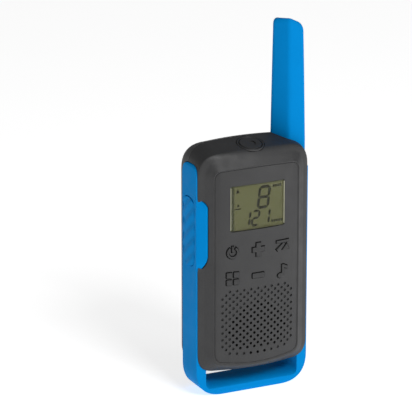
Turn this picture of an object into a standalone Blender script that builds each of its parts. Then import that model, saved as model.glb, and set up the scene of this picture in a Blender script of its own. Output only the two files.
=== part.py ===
"""Hand-held two-way radio with a loop at its foot and three round cells in its back.

Sizes are in millimetres and the mesh makers scale them to metres. +Z is up, the front
faces -Y, and the origin is the middle of the flat underside of the foot rail.
"""
import math

import bmesh
import bpy
from mathutils import Matrix, Vector

MM = 0.001
GAP = 0.3

# Driving dimensions of the body
HALF_WIDTH = 28.5
FRONT_Y = -14.0
BACK_Y = 14.0
PARTING_Y = 2.5
BOTTOM_Z = 11.4
TOP_Z = 123.25
TOP_FRONT_Z = 120.85
WALL = 1.5
BOW_RADIUS = 126.0
BOW_FULL_Y = -12.0
BOW_END_Y = -7.5

# Blue frame round the sides and foot
BAND_FRONT_Y = -7.5
BAND_BACK_Y = 7.8
BAND_OUTER_X = 29.0
SEAT_X = 25.9
BAND_TOP_Z = 114.0
BAND_RIGHT_TOP_Z = 107.6
RAIL_TOP_Z = 5.0
LOOP_HALF_WIDTH = 24.0

# Front panel, window and keys
PANEL_X = 21.46
PANEL_BOTTOM_Z = 16.3
PANEL_TOP_Z = 112.3
PANEL_THICKNESS = 1.2
SEAT_DEPTH = 1.5
FRONT_WALL = 1.3
WINDOW = (-14.1, 82.1, 14.1, 104.3)
KEY_COLUMN = 13.0
KEY_ROW_HIGH = 72.1
KEY_ROW_LOW = 59.3
KEY_PROUD = 0.35
KEY_CAP_BACK_Y = -10.6
KEY_FLANGE_Y = (-10.9, -10.2)
KEY_FLANGE_LIP = 0.9

# Each key's middle and half size, across and up
KEYS = {
    "power_key": (-KEY_COLUMN, KEY_ROW_HIGH, 3.1, 3.1),
    "plus_key": (0.0, KEY_ROW_HIGH, 3.15, 3.4),
    "scan_key": (KEY_COLUMN, KEY_ROW_HIGH, 3.6, 2.6),
    "menu_key": (-KEY_COLUMN, KEY_ROW_LOW, 3.1, 3.15),
    "minus_key": (0.0, KEY_ROW_LOW, 3.1, 1.25),
    "call_key": (KEY_COLUMN, KEY_ROW_LOW, 2.7, 3.3),
}

# Speaker grille: a quincunx of holes, open over a disc in front of the speaker
GRILLE_DX = 1.80
GRILLE_DZ = 1.69
GRILLE_TOP_Z = 52.9
GRILLE_ROWS = 18
GRILLE_DISC = 8.0
GRILLE_DISC_ROW = 12
HOLE_R = 0.55
SPEAKER_Z = 32.6
SPEAKER_R = 14.3
SPEAKER_BACK_Y = -10.5

# Push-to-talk button on the left side
PTT = (-5.4, 64.0, 6.6, 98.0)
PTT_FLANGE_Z = (63.4, 71.0, 94.0, 98.8)

# Round button in the sloping top
TOP_BUTTON = (0.0, -5.0, 121.42)
TOP_SLOPE = math.atan2(TOP_Z - TOP_FRONT_Z, PARTING_Y - GAP / 2 - BOW_END_Y)
TOP_WAY = Vector((0, -math.sin(TOP_SLOPE), math.cos(TOP_SLOPE)))
TOP_BUTTON_R = 5.3
TOP_BEZEL_R = 6.45
TOP_FLANGE_R = 6.3

# Port cover on the right side
PORT = (-5.6, 75.0, 5.9, 97.0)

# Antenna
ANTENNA_AXIS = (21.5, 2.0)
ANTENNA_MIDDLE = (21.8, 1.5)
ANTENNA_TOP_Z = 179.0
ANTENNA_BORE_R = 3.6

# Sections of the two housings: depth, then the outline's half width, foot, head, sag of
# the foot and the head, and setback of the lower and upper corners
FRONT_SECTIONS = [
    (FRONT_Y, (22.2, 15.5, 113.1, 2.6, 0.9, 5.3, 4.3)),
    (-13.6, (22.8, 14.8, 113.9, 2.5, 0.9, 5.6, 5.2)),
    (BOW_FULL_Y, (25.6, 13.7, 117.2, 2.8, 1.2, 7.0, 8.5)),
    (-10.0, (28.0, 12.6, 119.8, 2.8, 1.4, 8.5, 10.5)),
    (BOW_END_Y, (HALF_WIDTH, 11.9, TOP_FRONT_Z, 2.4, 1.6, 9.0, 11.5)),
    (PARTING_Y - GAP / 2, (HALF_WIDTH, BOTTOM_Z, TOP_Z, 1.8, 1.8, 9.0, 11.5)),
]
REAR_SECTIONS = [
    (PARTING_Y + GAP / 2, (HALF_WIDTH, BOTTOM_Z, TOP_Z, 1.8, 1.8, 9.0, 11.5)),
    (9.0, (HALF_WIDTH, BOTTOM_Z, 121.5, 1.8, 1.9, 9.0, 11.5)),
    (12.2, (27.4, 12.2, 119.8, 1.8, 1.9, 8.5, 10.5)),
    (BACK_Y, (25.6, 14.6, 117.2, 1.8, 1.9, 7.5, 7.5)),
]
INSIDE_X = SEAT_X - WALL
FRONT_CAVITY = [
    (FRONT_Y + SEAT_DEPTH + FRONT_WALL, (20.6, 18.0, 111.0, 2.6, 0.9, 5.0, 4.0)),
    (-9.4, (INSIDE_X, 13.4, 116.6, 2.0, 1.2, 7.0, 7.0)),
    (6.0, (INSIDE_X, 12.9, TOP_Z - 2.2, 1.6, 1.5, 6.5, 8.0)),
]
REAR_CAVITY = [
    (-3.0, (INSIDE_X, 12.9, TOP_Z - 2.2, 1.6, 1.5, 6.5, 8.0)),
    (8.6, (INSIDE_X, 12.9, 119.3, 1.6, 1.5, 6.5, 8.0)),
    (11.2, (23.4, 15.2, 115.8, 1.6, 1.5, 6.5, 7.0)),
]

# Battery bay, cells and cover
CELL_R = 7.1
CELL_LENGTH = 49.4
CELL_PITCH = 14.8
CELL_Y = 4.9
BAY_X = 22.8
BAY_BOTTOM_Z = 15.6
BAY_TOP_Z = 71.6
BAY_FLOOR_Y = -2.6
COVER_X = 24.0
COVER_BOTTOM_Z = 17.5
COVER_TOP_Z = 73.5
COVER_IN_Y = 12.9

# Main board
BOARD_Y = (-7.3, -5.9)

# Belt clip
CLIP_PIVOT = (17.9, 105.0)
PIN_R = 0.9
CASE_SCREWS = [(-21.2, 77.2), (21.2, 77.2), (-21.2, 112.5), (12.8, 112.5)]
BRACKET_SCREWS = [98.6, 111.4]

for old in list(bpy.data.objects):
    bpy.data.objects.remove(old, do_unlink=True)

scene = bpy.context.scene
parts = bpy.data.collections.new("two_way_radio")
cutters = bpy.data.collections.new("cutters")
scene.collection.children.link(parts)
scene.collection.children.link(cutters)


# ---------------------------------------------------------------- materials

def make_material(name, colour, roughness, metallic=0.0, alpha=1.0):
    material = bpy.data.materials.new(name)
    material.use_nodes = True
    shader = material.node_tree.nodes["Principled BSDF"]
    shader.inputs["Base Color"].default_value = (*colour, 1.0)
    shader.inputs["Roughness"].default_value = roughness
    shader.inputs["Metallic"].default_value = metallic
    shader.inputs["Alpha"].default_value = alpha
    return material


FINISHES = {
    "charcoal": ((0.045, 0.045, 0.047), 0.55),
    "panel": ((0.06, 0.06, 0.062), 0.5),
    "blue": ((0.0, 0.25, 0.62), 0.45),
    "key": ((0.03, 0.03, 0.032), 0.6),
    "window": ((0.16, 0.17, 0.075), 0.15, 0.0, 0.6),
    "glass": ((0.16, 0.17, 0.08), 0.3),
    "board": ((0.02, 0.16, 0.06), 0.5),
    "rubber": ((0.03, 0.03, 0.03), 0.8),
    "steel": ((0.6, 0.6, 0.6), 0.3, 1.0),
    "brass": ((0.75, 0.55, 0.25), 0.3, 1.0),
    "black_part": ((0.02, 0.02, 0.02), 0.5),
    "cone": ((0.05, 0.045, 0.04), 0.9),
    "cell": ((0.2, 0.2, 0.22), 0.35),
    "white_part": ((0.7, 0.7, 0.68), 0.5),
}


def finish(obj, name, kind):
    """Name a finished part, give it a material and put it with the parts."""
    obj.name = name
    obj.data.name = name
    obj.data.materials.clear()
    obj.data.materials.append(make_material(f"{name}_{kind}", *FINISHES[kind]))
    cutters.objects.unlink(obj)
    parts.objects.link(obj)
    obj.hide_render = False
    obj.display_type = "SOLID"
    return obj


# ---------------------------------------------------------------- mesh makers

def add_object(name, data):
    """Every shape starts as a guide and becomes a part when it is finished."""
    obj = bpy.data.objects.new(name, data)
    obj.hide_render = True
    obj.display_type = "WIRE"
    cutters.objects.link(obj)
    return obj


def evaluated_mesh(obj):
    bpy.context.view_layer.update()
    graph = bpy.context.evaluated_depsgraph_get()
    return bpy.data.meshes.new_from_object(obj.evaluated_get(graph))


def face_outwards(shape):
    bmesh.ops.recalc_face_normals(shape, faces=shape.faces)
    if shape.calc_volume(signed=True) < 0:
        bmesh.ops.reverse_faces(shape, faces=shape.faces)


def tidy_mesh(mesh, matrix=None, merge_flat=False):
    """Weld the seams, merge the triangles of a flat cap, and point the faces outwards."""
    shape = bmesh.new()
    shape.from_mesh(mesh)
    bmesh.ops.remove_doubles(shape, verts=shape.verts, dist=1e-6)
    if merge_flat:
        bmesh.ops.dissolve_limit(shape, angle_limit=0.002, verts=shape.verts, edges=shape.edges)
    if matrix is not None:
        shape.transform(matrix)
    face_outwards(shape)
    shape.to_mesh(mesh)
    shape.free()
    return mesh


def bake(obj):
    """Apply the modifiers, so that the mesh can be worked on further."""
    mesh = evaluated_mesh(obj)
    obj.modifiers.clear()
    obj.data = mesh
    return obj


AXIS_TURN = {
    "X": Matrix(((0, 0, 1, 0), (1, 0, 0, 0), (0, 1, 0, 0), (0, 0, 0, 1))),
    "Y": Matrix.Rotation(math.pi / 2, 4, "X"),
    "Z": Matrix.Identity(4),
}
AXIS_WAY = {"X": Vector((1, 0, 0)), "Y": Vector((0, 1, 0)), "Z": Vector((0, 0, 1))}


def prism(name, outline, low, high, axis="Y"):
    """A flat outline, filled and extruded from low to high along an axis."""
    curve = bpy.data.curves.new(name, "CURVE")
    curve.dimensions = "2D"
    curve.fill_mode = "BOTH"
    curve.extrude = (high - low) / 2 * MM
    spline = curve.splines.new("POLY")
    spline.points.add(len(outline) - 1)
    for point, (across, up) in zip(spline.points, outline):
        point.co = (across * MM, up * MM, 0, 1)
    spline.use_cyclic_u = True
    guide = add_object(name + "_curve", curve)
    mesh = evaluated_mesh(guide)
    bpy.data.objects.remove(guide)
    middle = AXIS_WAY[axis] * (low + high) / 2 * MM
    matrix = Matrix.Translation(middle) @ AXIS_TURN[axis]
    return add_object(name, tidy_mesh(mesh, matrix, merge_flat=True))


def turned(name, profile, at, way=(0, 0, 1), steps=16):
    """A profile of (radius, height), top to bottom, turned round an axis."""
    mesh = bpy.data.meshes.new(name)
    edges = [(k, k + 1) for k in range(len(profile) - 1)]
    mesh.from_pydata([(r * MM, 0, h * MM) for r, h in profile], edges, [])
    guide = add_object(name + "_profile", mesh)
    screw = guide.modifiers.new("turn", "SCREW")
    screw.steps = steps
    screw.render_steps = steps
    screw.use_merge_vertices = True
    screw.merge_threshold = 0.00001
    solid = evaluated_mesh(guide)
    bpy.data.objects.remove(guide)
    turn = Vector(way).to_track_quat("Z", "Y").to_matrix().to_4x4()
    place = Matrix.Translation(Vector(at) * MM) @ turn
    return add_object(name, tidy_mesh(solid, place, merge_flat=True))


def cylinder(name, radius, length, at, way=(0, 0, 1), steps=16):
    """A plain cylinder whose foot is at a point and which grows along way."""
    profile = [(0, length), (radius, length), (radius, 0), (0, 0)]
    return turned(name, profile, at, way, steps)


def tube(name, inner, outer, length, at, way=(0, 0, 1), steps=20):
    """A plain ring, made as one cylinder cut by another."""
    ring = cylinder(name, outer, length, at, way, steps)
    start = Vector(at) - Vector(way).normalized()
    cut(ring, cylinder(name + "_bore", inner, length + 2, start, way, steps))
    return ring


def block(name, low, high, bevel=0.0):
    """A box between two corners, with rounded edges where asked."""
    shape = bmesh.new()
    bmesh.ops.create_cube(shape, size=1.0)
    low = Vector(low)
    high = Vector(high)
    bmesh.ops.scale(shape, vec=(high - low) * MM, verts=shape.verts)
    bmesh.ops.translate(shape, vec=(low + high) / 2 * MM, verts=shape.verts)
    mesh = bpy.data.meshes.new(name)
    shape.to_mesh(mesh)
    shape.free()
    obj = add_object(name, mesh)
    if bevel:
        soften = obj.modifiers.new("edges", "BEVEL")
        soften.width = bevel * MM
        soften.segments = 2
    return obj


def coil(name, radius, wire, low, high, turns, at, way=(0, 0, 1), per_turn=10):
    """A spring or winding: a POLY helix with a round section."""
    curve = bpy.data.curves.new(name, "CURVE")
    curve.dimensions = "3D"
    curve.bevel_depth = wire * MM
    curve.bevel_resolution = 1
    curve.use_fill_caps = True
    count = turns * per_turn + 1
    spline = curve.splines.new("POLY")
    spline.points.add(count - 1)
    for k, point in enumerate(spline.points):
        angle = 2 * math.pi * k / per_turn
        height = low + (high - low) * k / (count - 1)
        point.co = (radius * math.cos(angle) * MM, radius * math.sin(angle) * MM, height * MM, 1)
    guide = add_object(name + "_wire", curve)
    mesh = evaluated_mesh(guide)
    bpy.data.objects.remove(guide)
    turn = Vector(way).to_track_quat("Z", "Y").to_matrix().to_4x4()
    place = Matrix.Translation(Vector(at) * MM) @ turn
    return add_object(name, tidy_mesh(mesh, place))


def loft(name, rings):
    """A closed solid through rings of equal point counts, capped at both ends."""
    shape = bmesh.new()
    loops = [[shape.verts.new(Vector(point) * MM) for point in ring] for ring in rings]
    count = len(rings[0])
    for lower, upper in zip(loops, loops[1:]):
        for k in range(count):
            following = (k + 1) % count
            shape.faces.new((lower[k], lower[following], upper[following], upper[k]))
    shape.faces.new(loops[0])
    shape.faces.new(loops[-1])
    face_outwards(shape)
    mesh = bpy.data.meshes.new(name)
    shape.to_mesh(mesh)
    shape.free()
    return add_object(name, mesh)


def boolean(target, tool, operation):
    change = target.modifiers.new(tool.name, "BOOLEAN")
    change.operation = operation
    change.object = tool
    change.solver = "EXACT"


def cut(target, *tools):
    for tool in tools:
        boolean(target, tool, "DIFFERENCE")
    return target


def add(target, *tools):
    for tool in tools:
        boolean(target, tool, "UNION")
    return target


# ---------------------------------------------------------------- outlines

def rounded(corners, setback, steps=4):
    """A polygon whose corners are eased, starting a setback away from each corner."""
    points = []
    for k, corner in enumerate(corners):
        corner = Vector(corner)
        before = Vector(corners[k - 1]) - corner
        after = Vector(corners[(k + 1) % len(corners)]) - corner
        start = corner + before.normalized() * min(setback, before.length / 2.02)
        end = corner + after.normalized() * min(setback, after.length / 2.02)
        for step in range(steps + 1):
            t = step / steps
            point = start * (1 - t) ** 2 + corner * 2 * t * (1 - t) + end * t ** 2
            points.append((point.x, point.y))
    return points


def rectangle(low_a, low_b, high_a, high_b):
    return [(low_a, low_b), (high_a, low_b), (high_a, high_b), (low_a, high_b)]


def rounded_box(box, setback, grow=0.0, steps=4):
    low_a, low_b, high_a, high_b = box
    corners = rectangle(low_a - grow, low_b - grow, high_a + grow, high_b + grow)
    return rounded(corners, setback, steps)


def shield(half_width, bottom, top, bottom_sag, top_sag, bottom_corner, top_corner, steps=5):
    """The body's outline: gently arched foot and top, straight sides, eased corners."""
    def arch(level, sag, corner, way):
        reach = half_width - corner
        xs = [way * reach * (2 * k / 6 - 1) for k in range(7)]
        return [(x, level + sag * (x / half_width) ** 2) for x in xs]

    def ease(start, corner, end):
        points = []
        for step in range(1, steps):
            t = step / steps
            points.append(tuple(start[i] * (1 - t) ** 2 + 2 * corner[i] * t * (1 - t) + end[i] * t ** 2
                                for i in (0, 1)))
        return points

    foot = arch(bottom, bottom_sag, bottom_corner, 1)
    head = arch(top, -top_sag, top_corner, -1)
    low_side = foot[-1][1] + bottom_corner
    high_side = head[0][1] - top_corner
    outline = list(foot)
    outline += ease(foot[-1], (half_width, foot[-1][1]), (half_width, low_side))
    outline += [(half_width, low_side), (half_width, high_side)]
    outline += ease((half_width, high_side), (half_width, head[0][1]), head[0])
    outline += head
    outline += ease(head[-1], (-half_width, head[-1][1]), (-half_width, high_side))
    outline += [(-half_width, high_side), (-half_width, low_side)]
    outline += ease((-half_width, low_side), (-half_width, foot[0][1]), foot[0])
    return outline


def ring_at(outline, y):
    return [(x, y, z) for x, z in outline]


def bow_front(obj, columns):
    """Split the front into upright strips and bow it round an upright axis.

    The bow is whole at the face and dies out where the blue band starts.
    """
    bake(obj)
    shape = bmesh.new()
    shape.from_mesh(obj.data)
    for x in columns:
        geometry = shape.verts[:] + shape.edges[:] + shape.faces[:]
        bmesh.ops.bisect_plane(shape, geom=geometry, plane_co=(x * MM, 0, 0), plane_no=(1, 0, 0))
    for vert in shape.verts:
        share = (BOW_END_Y * MM - vert.co.y) / ((BOW_END_Y - BOW_FULL_Y) * MM)
        share = max(0.0, min(1.0, share))
        vert.co.y += share * vert.co.x ** 2 / (2 * BOW_RADIUS * MM)
    shape.to_mesh(obj.data)
    shape.free()
    return obj


def put_origin(obj, point):
    """Move a part's origin to a point on its joint's axis, and leave its shape in place."""
    place = Vector(point) * MM
    obj.data.transform(Matrix.Translation(-place))
    obj.location = place
    return obj


STRIPS = [GRILLE_DX * (2 * k + 0.5) for k in range(-6, 6)]
HOUSING_STRIPS = [GRILLE_DX * (4 * k + 0.5) for k in range(-3, 4)]


def panel_outline(grow=0.0):
    return shield(PANEL_X + grow, PANEL_BOTTOM_Z - grow, PANEL_TOP_Z + grow, 2.6, 0.9, 5.0, 4.0)


def seat_outline(grow=0.0):
    """The body's section behind the blue band, which closes on it."""
    return shield(SEAT_X + grow, BOTTOM_Z - grow, TOP_Z + grow, 1.6, 1.0, 8.0, 5.0)


# ---------------------------------------------------------------- shared cutters

def band_seat(name, low, high):
    """The U-shaped space that the blue band takes up round the sides and foot."""
    seat = seat_outline()
    right_side = next(k for k, point in enumerate(seat) if point[0] == SEAT_X)
    left_side = len(seat) - 1 - next(k for k, p in enumerate(reversed(seat)) if p[0] == -SEAT_X)
    inner = seat[left_side:] + seat[:right_side + 1]
    outline = [(-35, BAND_TOP_Z + GAP), (-35, -5), (35, -5), (35, 121), (SEAT_X, 121)]
    outline += [point for point in reversed(inner)]
    outline += [(-SEAT_X, BAND_TOP_Z + GAP)]
    return cut(prism(name, outline, low, high), band_end(name + "_end", GAP))


def band_end(name, grow):
    """What is left over above the rounded upper end of the band's left side."""
    space = block(name, (-36, -12, BAND_TOP_Z - 7.5), (-24, 14, BAND_TOP_Z + 3))
    tongue = rounded_box((BAND_FRONT_Y, 60, BAND_BACK_Y, BAND_TOP_Z), 6.5, grow)
    return cut(space, prism(name + "_tongue", tongue, -37, -23, "X"))


def antenna_notch(name):
    outline = [(13.0, 140), (13.0, 121.6), (28.0, 109.2), (28.9, 107.9), (40, 107.9), (40, 140)]
    return prism(name, outline, -6.6, 20.0)


def ptt_flange(name, grow):
    """The blue wing in front of the talk button: it laps over the body's chamfer."""
    def section(z, reach):
        front = -7.2 - grow - 3.6 * reach
        inner = -27.4 + grow + 2.4 * reach
        return [(-BAND_OUTER_X - 0.1, -6.0, z), (-BAND_OUTER_X - 0.1, -7.3 - grow, z), (inner, front, z),
                (inner + 0.9, front + 0.9, z), (-26.2 + grow, -6.0, z)]

    foot, full_low, full_high, head = PTT_FLANGE_Z
    levels = [(foot - grow, 0.0), (full_low, 1.0), (full_high, 1.0), (head + grow, 0.0)]
    return loft(name, [section(z, reach) for z, reach in levels])


# ---------------------------------------------------------------- housings

def make_front_housing():
    body = loft("front_shell", [ring_at(shield(*sizes), y) for y, sizes in FRONT_SECTIONS])
    cavity = loft("front_cavity", [ring_at(shield(*sizes), y) for y, sizes in FRONT_CAVITY])
    recess = prism("panel_seat", panel_outline(GAP), -20, FRONT_Y + SEAT_DEPTH)
    cut(body, cavity, recess, band_seat("front_band_seat", BAND_FRONT_Y - GAP, 10))
    cut(body, prism("window_opening", rounded_box(WINDOW, 1.0), -16, -9))
    cut(body, cylinder("speaker_opening", SPEAKER_R + GAP, 6, (0, -15, SPEAKER_Z), (0, 1, 0), 24))
    for name in KEYS:
        cut(body, prism(name + "_way", key_pad(name, 1.2, GAP), -16, -9))
    for k, (x, z) in enumerate(CASE_SCREWS):
        boss = cylinder(f"boss_{k}", 2.4, 13.9, (x, -11.8, z), (0, 1, 0), 14)
        add(body, boss)
        cut(body, cylinder(f"boss_hole_{k}", 1.2, 12, (x, -6.0, z), (0, 1, 0), 12))
    cut(body, block("ptt_way", (-27, -4.6, 80.9), (-23.5, 1.9, 90.1)))
    cut(body, block("port_way", (23.5, -6.0, 79.8), (27, 0.8, 95.8)))
    cut(body, antenna_notch("front_notch"))
    for name, radius, depth, length in (("top_button_way", TOP_BUTTON_R + 0.35, 6.0, 10),
                                        ("top_bezel_seat", TOP_BEZEL_R + GAP, 0.9, 4),
                                        ("top_flange_way", TOP_FLANGE_R + 0.35, 9.4, 7)):
        foot = Vector(TOP_BUTTON) - TOP_WAY * depth
        cut(body, cylinder(name, radius, length, foot, TOP_WAY, 24))
    bow_front(body, HOUSING_STRIPS)
    cut(body, ptt_flange("ptt_flange_seat", GAP * 1.5))
    bake(body)
    return finish(body, "front_housing", "charcoal")


def make_rear_housing():
    seam = PARTING_Y + GAP / 2
    body = loft("rear_shell", [ring_at(shield(*sizes), y) for y, sizes in REAR_SECTIONS])
    cavity = loft("rear_cavity", [ring_at(shield(*sizes), y) for y, sizes in REAR_CAVITY])
    cut(body, cavity, band_seat("rear_band_seat", -10, BAND_BACK_Y + GAP))
    bay_outside = rounded_box((-BAY_X, BAY_BOTTOM_Z, BAY_X, BAY_TOP_Z), 7.0, WALL - 0.3)
    add(body, prism("bay_outside", bay_outside, BAY_FLOOR_Y - 1.2, 12.0))
    bay_inside = rounded_box((-BAY_X, BAY_BOTTOM_Z, BAY_X, BAY_TOP_Z), 6.0)
    cut(body, prism("bay_inside", bay_inside, BAY_FLOOR_Y, 11.4))
    opening = rounded_box((-22.5, 18.7, 22.5, 71.2), 3.0)
    cut(body, prism("bay_opening", opening, 9.0, 20))
    cover_seat = rounded_box((-COVER_X, COVER_BOTTOM_Z, COVER_X, COVER_TOP_Z), 3.0, GAP)
    cut(body, prism("cover_seat", cover_seat, COVER_IN_Y - GAP, 20))
    for k, (x, z) in enumerate(CASE_SCREWS):
        add(body, cylinder(f"rear_boss_{k}", 2.4, 9.3, (x, seam + 0.2, z), (0, 1, 0), 14))
        cut(body, cylinder(f"screw_way_{k}", 1.2, 20, (x, 0, z), (0, 1, 0), 12))
        cut(body, cylinder(f"head_pocket_{k}", 2.3, 8, (x, 12.2, z), (0, 1, 0), 16))
    for k, z in enumerate(BRACKET_SCREWS):
        cut(body, cylinder(f"bracket_hole_{k}", 1.2, 12, (0, 9, z), (0, 1, 0), 12))
    cut(body, antenna_notch("rear_notch"))
    bake(body)
    return finish(body, "rear_housing", "charcoal")


def make_bumper_frame():
    """The blue frame: two side bands, the foot rail and the wing by the talk button."""
    inner = seat_outline(GAP)
    right_side = next(k for k, point in enumerate(inner) if point[0] == SEAT_X + GAP)
    left_side = len(inner) - 1 - next(k for k, p in enumerate(reversed(inner)) if p[0] == -SEAT_X - GAP)
    saddle = inner[left_side:] + inner[:right_side + 1]
    corner = [(-28.0, 7.5), (-25.4, 3.2), (-21.0, 0.9), (-15.0, 0.0)]
    outer = [(-BAND_OUTER_X, BAND_TOP_Z - 1.5), (-BAND_OUTER_X, 40), (-BAND_OUTER_X, 14.0)] + corner
    outer += [(-x, z) for x, z in reversed(corner)]
    outer += [(BAND_OUTER_X, 14.0), (BAND_OUTER_X, 40), (BAND_OUTER_X, BAND_RIGHT_TOP_Z)]
    outline = outer + [(SEAT_X + GAP, BAND_RIGHT_TOP_Z)]
    outline += [point for point in reversed(saddle)]
    outline += [(-SEAT_X - GAP, BAND_TOP_Z), (-BAND_OUTER_X + 1.5, BAND_TOP_Z)]
    frame = prism("bumper", outline, BAND_FRONT_Y, BAND_BACK_Y)
    hand_loop = rounded_box((-LOOP_HALF_WIDTH, RAIL_TOP_Z, LOOP_HALF_WIDTH, 13.5), 2.6)
    add(frame, ptt_flange("ptt_flange", 0.0))
    cut(frame, prism("hand_loop", hand_loop, -20, 20), band_end("band_end", 0.0))
    cut(frame, prism("ptt_slot", rounded_box(PTT, 5.6), -32, -24, "X"))
    cut(frame, prism("port_slot", rounded_box(PORT, 4.0, GAP), 24, 32, "X"))
    bake(frame)
    return finish(frame, "bumper_frame", "blue")


# ---------------------------------------------------------------- front face

def key_box(name):
    x, z, half_x, half_z = KEYS[name]
    return x - half_x, z - half_z, x + half_x, z + half_z


def key_pad(name, setback, grow=0.0):
    return rounded_box(key_box(name), setback, grow, 3)


def make_front_panel():
    """The inset panel: window opening, key holes and the speaker's grille."""
    panel = prism("panel", panel_outline(), FRONT_Y, FRONT_Y + PANEL_THICKNESS)
    cut(panel, prism("window_hole", rounded_box(WINDOW, 1.0), -16, -11))
    for name in KEYS:
        cut(panel, prism(name + "_hole", key_pad(name, 1.2, GAP), -16, -11))
    drills = bmesh.new()
    for row in range(GRILLE_ROWS):
        for column in range(-10, 11):
            near = math.hypot(column, row - GRILLE_DISC_ROW) <= GRILLE_DISC
            if (row + column) % 2 or not near:
                continue
            place = Vector((column * GRILLE_DX, FRONT_Y, GRILLE_TOP_Z - row * GRILLE_DZ)) * MM
            matrix = Matrix.Translation(place) @ Matrix.Rotation(math.pi / 2, 4, "X")
            bmesh.ops.create_cone(drills, cap_ends=True, segments=6, radius1=HOLE_R * MM,
                                  radius2=HOLE_R * MM, depth=6 * MM, matrix=matrix)
    mesh = bpy.data.meshes.new("drills")
    drills.to_mesh(mesh)
    drills.free()
    cut(panel, add_object("grille_drills", mesh))
    bow_front(panel, STRIPS)
    return finish(panel, "front_panel", "panel")


def make_keys():
    """Each key is a cap that stands proud of the panel, on a wider flange behind the wall."""
    for name, (x, z, half_x, half_z) in KEYS.items():
        cap = prism(name + "_cap", key_pad(name, 1.0), FRONT_Y - KEY_PROUD, KEY_CAP_BACK_Y)
        flange = prism(name + "_flange", key_pad(name, 1.2, KEY_FLANGE_LIP), *KEY_FLANGE_Y)
        add(cap, flange)
        bow_front(cap, [x - half_x + 1.5, x + half_x - 1.5])
        put_origin(cap, (x, FRONT_Y, z))
        finish(cap, name, "key")


def make_display():
    low_x, low_z, high_x, high_z = WINDOW
    inset = (low_x + GAP, low_z + GAP, high_x - GAP, high_z - GAP)
    window = prism("window", rounded_box(inset, 0.9), -13.4, -12.3)
    bow_front(window, STRIPS)
    finish(window, "display_window", "window")
    glass = block("glass", (-13.4, -11.2, 82.8), (13.4, -10.0, 103.6), 0.2)
    finish(glass, "lcd_glass", "glass")
    holder = block("holder", (-16.5, -9.7, 79.6), (16.5, -7.6, 107.0), 0.4)
    cut(holder, block("holder_pocket", (-14.4, -12, 81.6), (14.4, -8.6, 105.0)))
    finish(holder, "lcd_holder", "white_part")
    light = block("light", (-13.9, -9.5, 82.0), (13.9, -8.9, 104.5))
    finish(light, "backlight_plate", "white_part")


# ---------------------------------------------------------------- inside

def make_boards():
    outline = [(-18.2, 50.6), (18.2, 50.6), (18.2, 81.5), (23.4, 81.5), (23.4, 95.5), (18.2, 95.5),
               (18.2, 108.6), (-18.2, 108.6), (-18.2, 95.5), (-23.4, 95.5), (-23.4, 81.5), (-18.2, 81.5)]
    finish(prism("board", outline, *BOARD_Y), "main_board", "board")
    mat = prism("mat", rounded_box((-17.4, 54.0, 17.4, 77.6), 2.0), -8.3, -7.6)
    finish(mat, "key_mat", "rubber")
    can = block("can", (-15, -5.6, 84.0), (10, -3.2, 106.0), 0.4)
    cut(can, block("can_inside", (-14.5, -7, 84.5), (9.5, -3.7, 105.5)))
    finish(can, "shield_can", "steel")
    chip = block("chip", (-8.5, -5.6, 90.0), (3.5, -4.3, 100.0))
    finish(chip, "radio_chip", "black_part")
    switch = block("talk_switch_body", (-22.3, -5.6, 82.0), (-19.2, -1.4, 89.0), 0.3)
    finish(switch, "talk_switch", "black_part")
    socket = block("socket", (18.6, -5.6, 81.8), (25.0, -2.8, 89.3), 0.3)
    cut(socket, block("socket_mouth", (20.0, -5.1, 82.5), (27, -3.3, 88.6)))
    finish(socket, "charging_socket", "steel")
    jack = tube("jack", 1.3, 2.3, 10.5, (14.5, -3.0, 92.8), (1, 0, 0), 16)
    finish(jack, "headset_jack", "black_part")
    foot = Vector(TOP_BUTTON) - TOP_WAY * 8.4
    top_switch = turned("top_switch_body", [(0, 2.0), (1.4, 2.0), (1.4, 1.2), (3.2, 1.2), (3.2, 0), (0, 0)],
                        foot, TOP_WAY, 12)
    finish(top_switch, "top_switch", "black_part")


def make_speaker():
    seal = tube("seal", 12.2, 14.0, 0.9, (0, -11.7, SPEAKER_Z), (0, 1, 0), 32)
    finish(seal, "speaker_seal", "rubber")
    profile = [(8.2, 4.2), (8.2, 3.4), (10.2, 3.4), (13.2, 1.0), (SPEAKER_R, 1.0), (SPEAKER_R, 0),
               (13.0, 0), (13.0, 0.5), (10.0, 2.6), (6.2, 2.6), (6.2, 4.2), (8.2, 4.2)]
    basket = turned("basket", list(reversed(profile)), (0, SPEAKER_BACK_Y, SPEAKER_Z), (0, 1, 0), 24)
    finish(basket, "speaker_basket", "steel")
    cone = [(0, 1.3), (3.0, 1.6), (3.6, 1.9), (12.4, 0.1), (12.4, -0.25), (11.9, -0.3), (3.4, 1.5), (0, 0.9)]
    diaphragm = turned("cone", cone, (0, SPEAKER_BACK_Y + GAP, SPEAKER_Z), (0, 1, 0), 24)
    finish(diaphragm, "speaker_cone", "cone")
    magnet = turned("magnet_body", [(0, 1.9), (5.2, 1.9), (5.8, 1.5), (5.8, 0), (0, 0)],
                    (0, -6.9, SPEAKER_Z), (0, 1, 0), 20)
    finish(magnet, "speaker_magnet", "steel")
    microphone = cylinder("microphone_body", 2.0, 1.6, (10.0, -10.0, 50.0), (0, 1, 0), 16)
    finish(microphone, "microphone", "steel")


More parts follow.
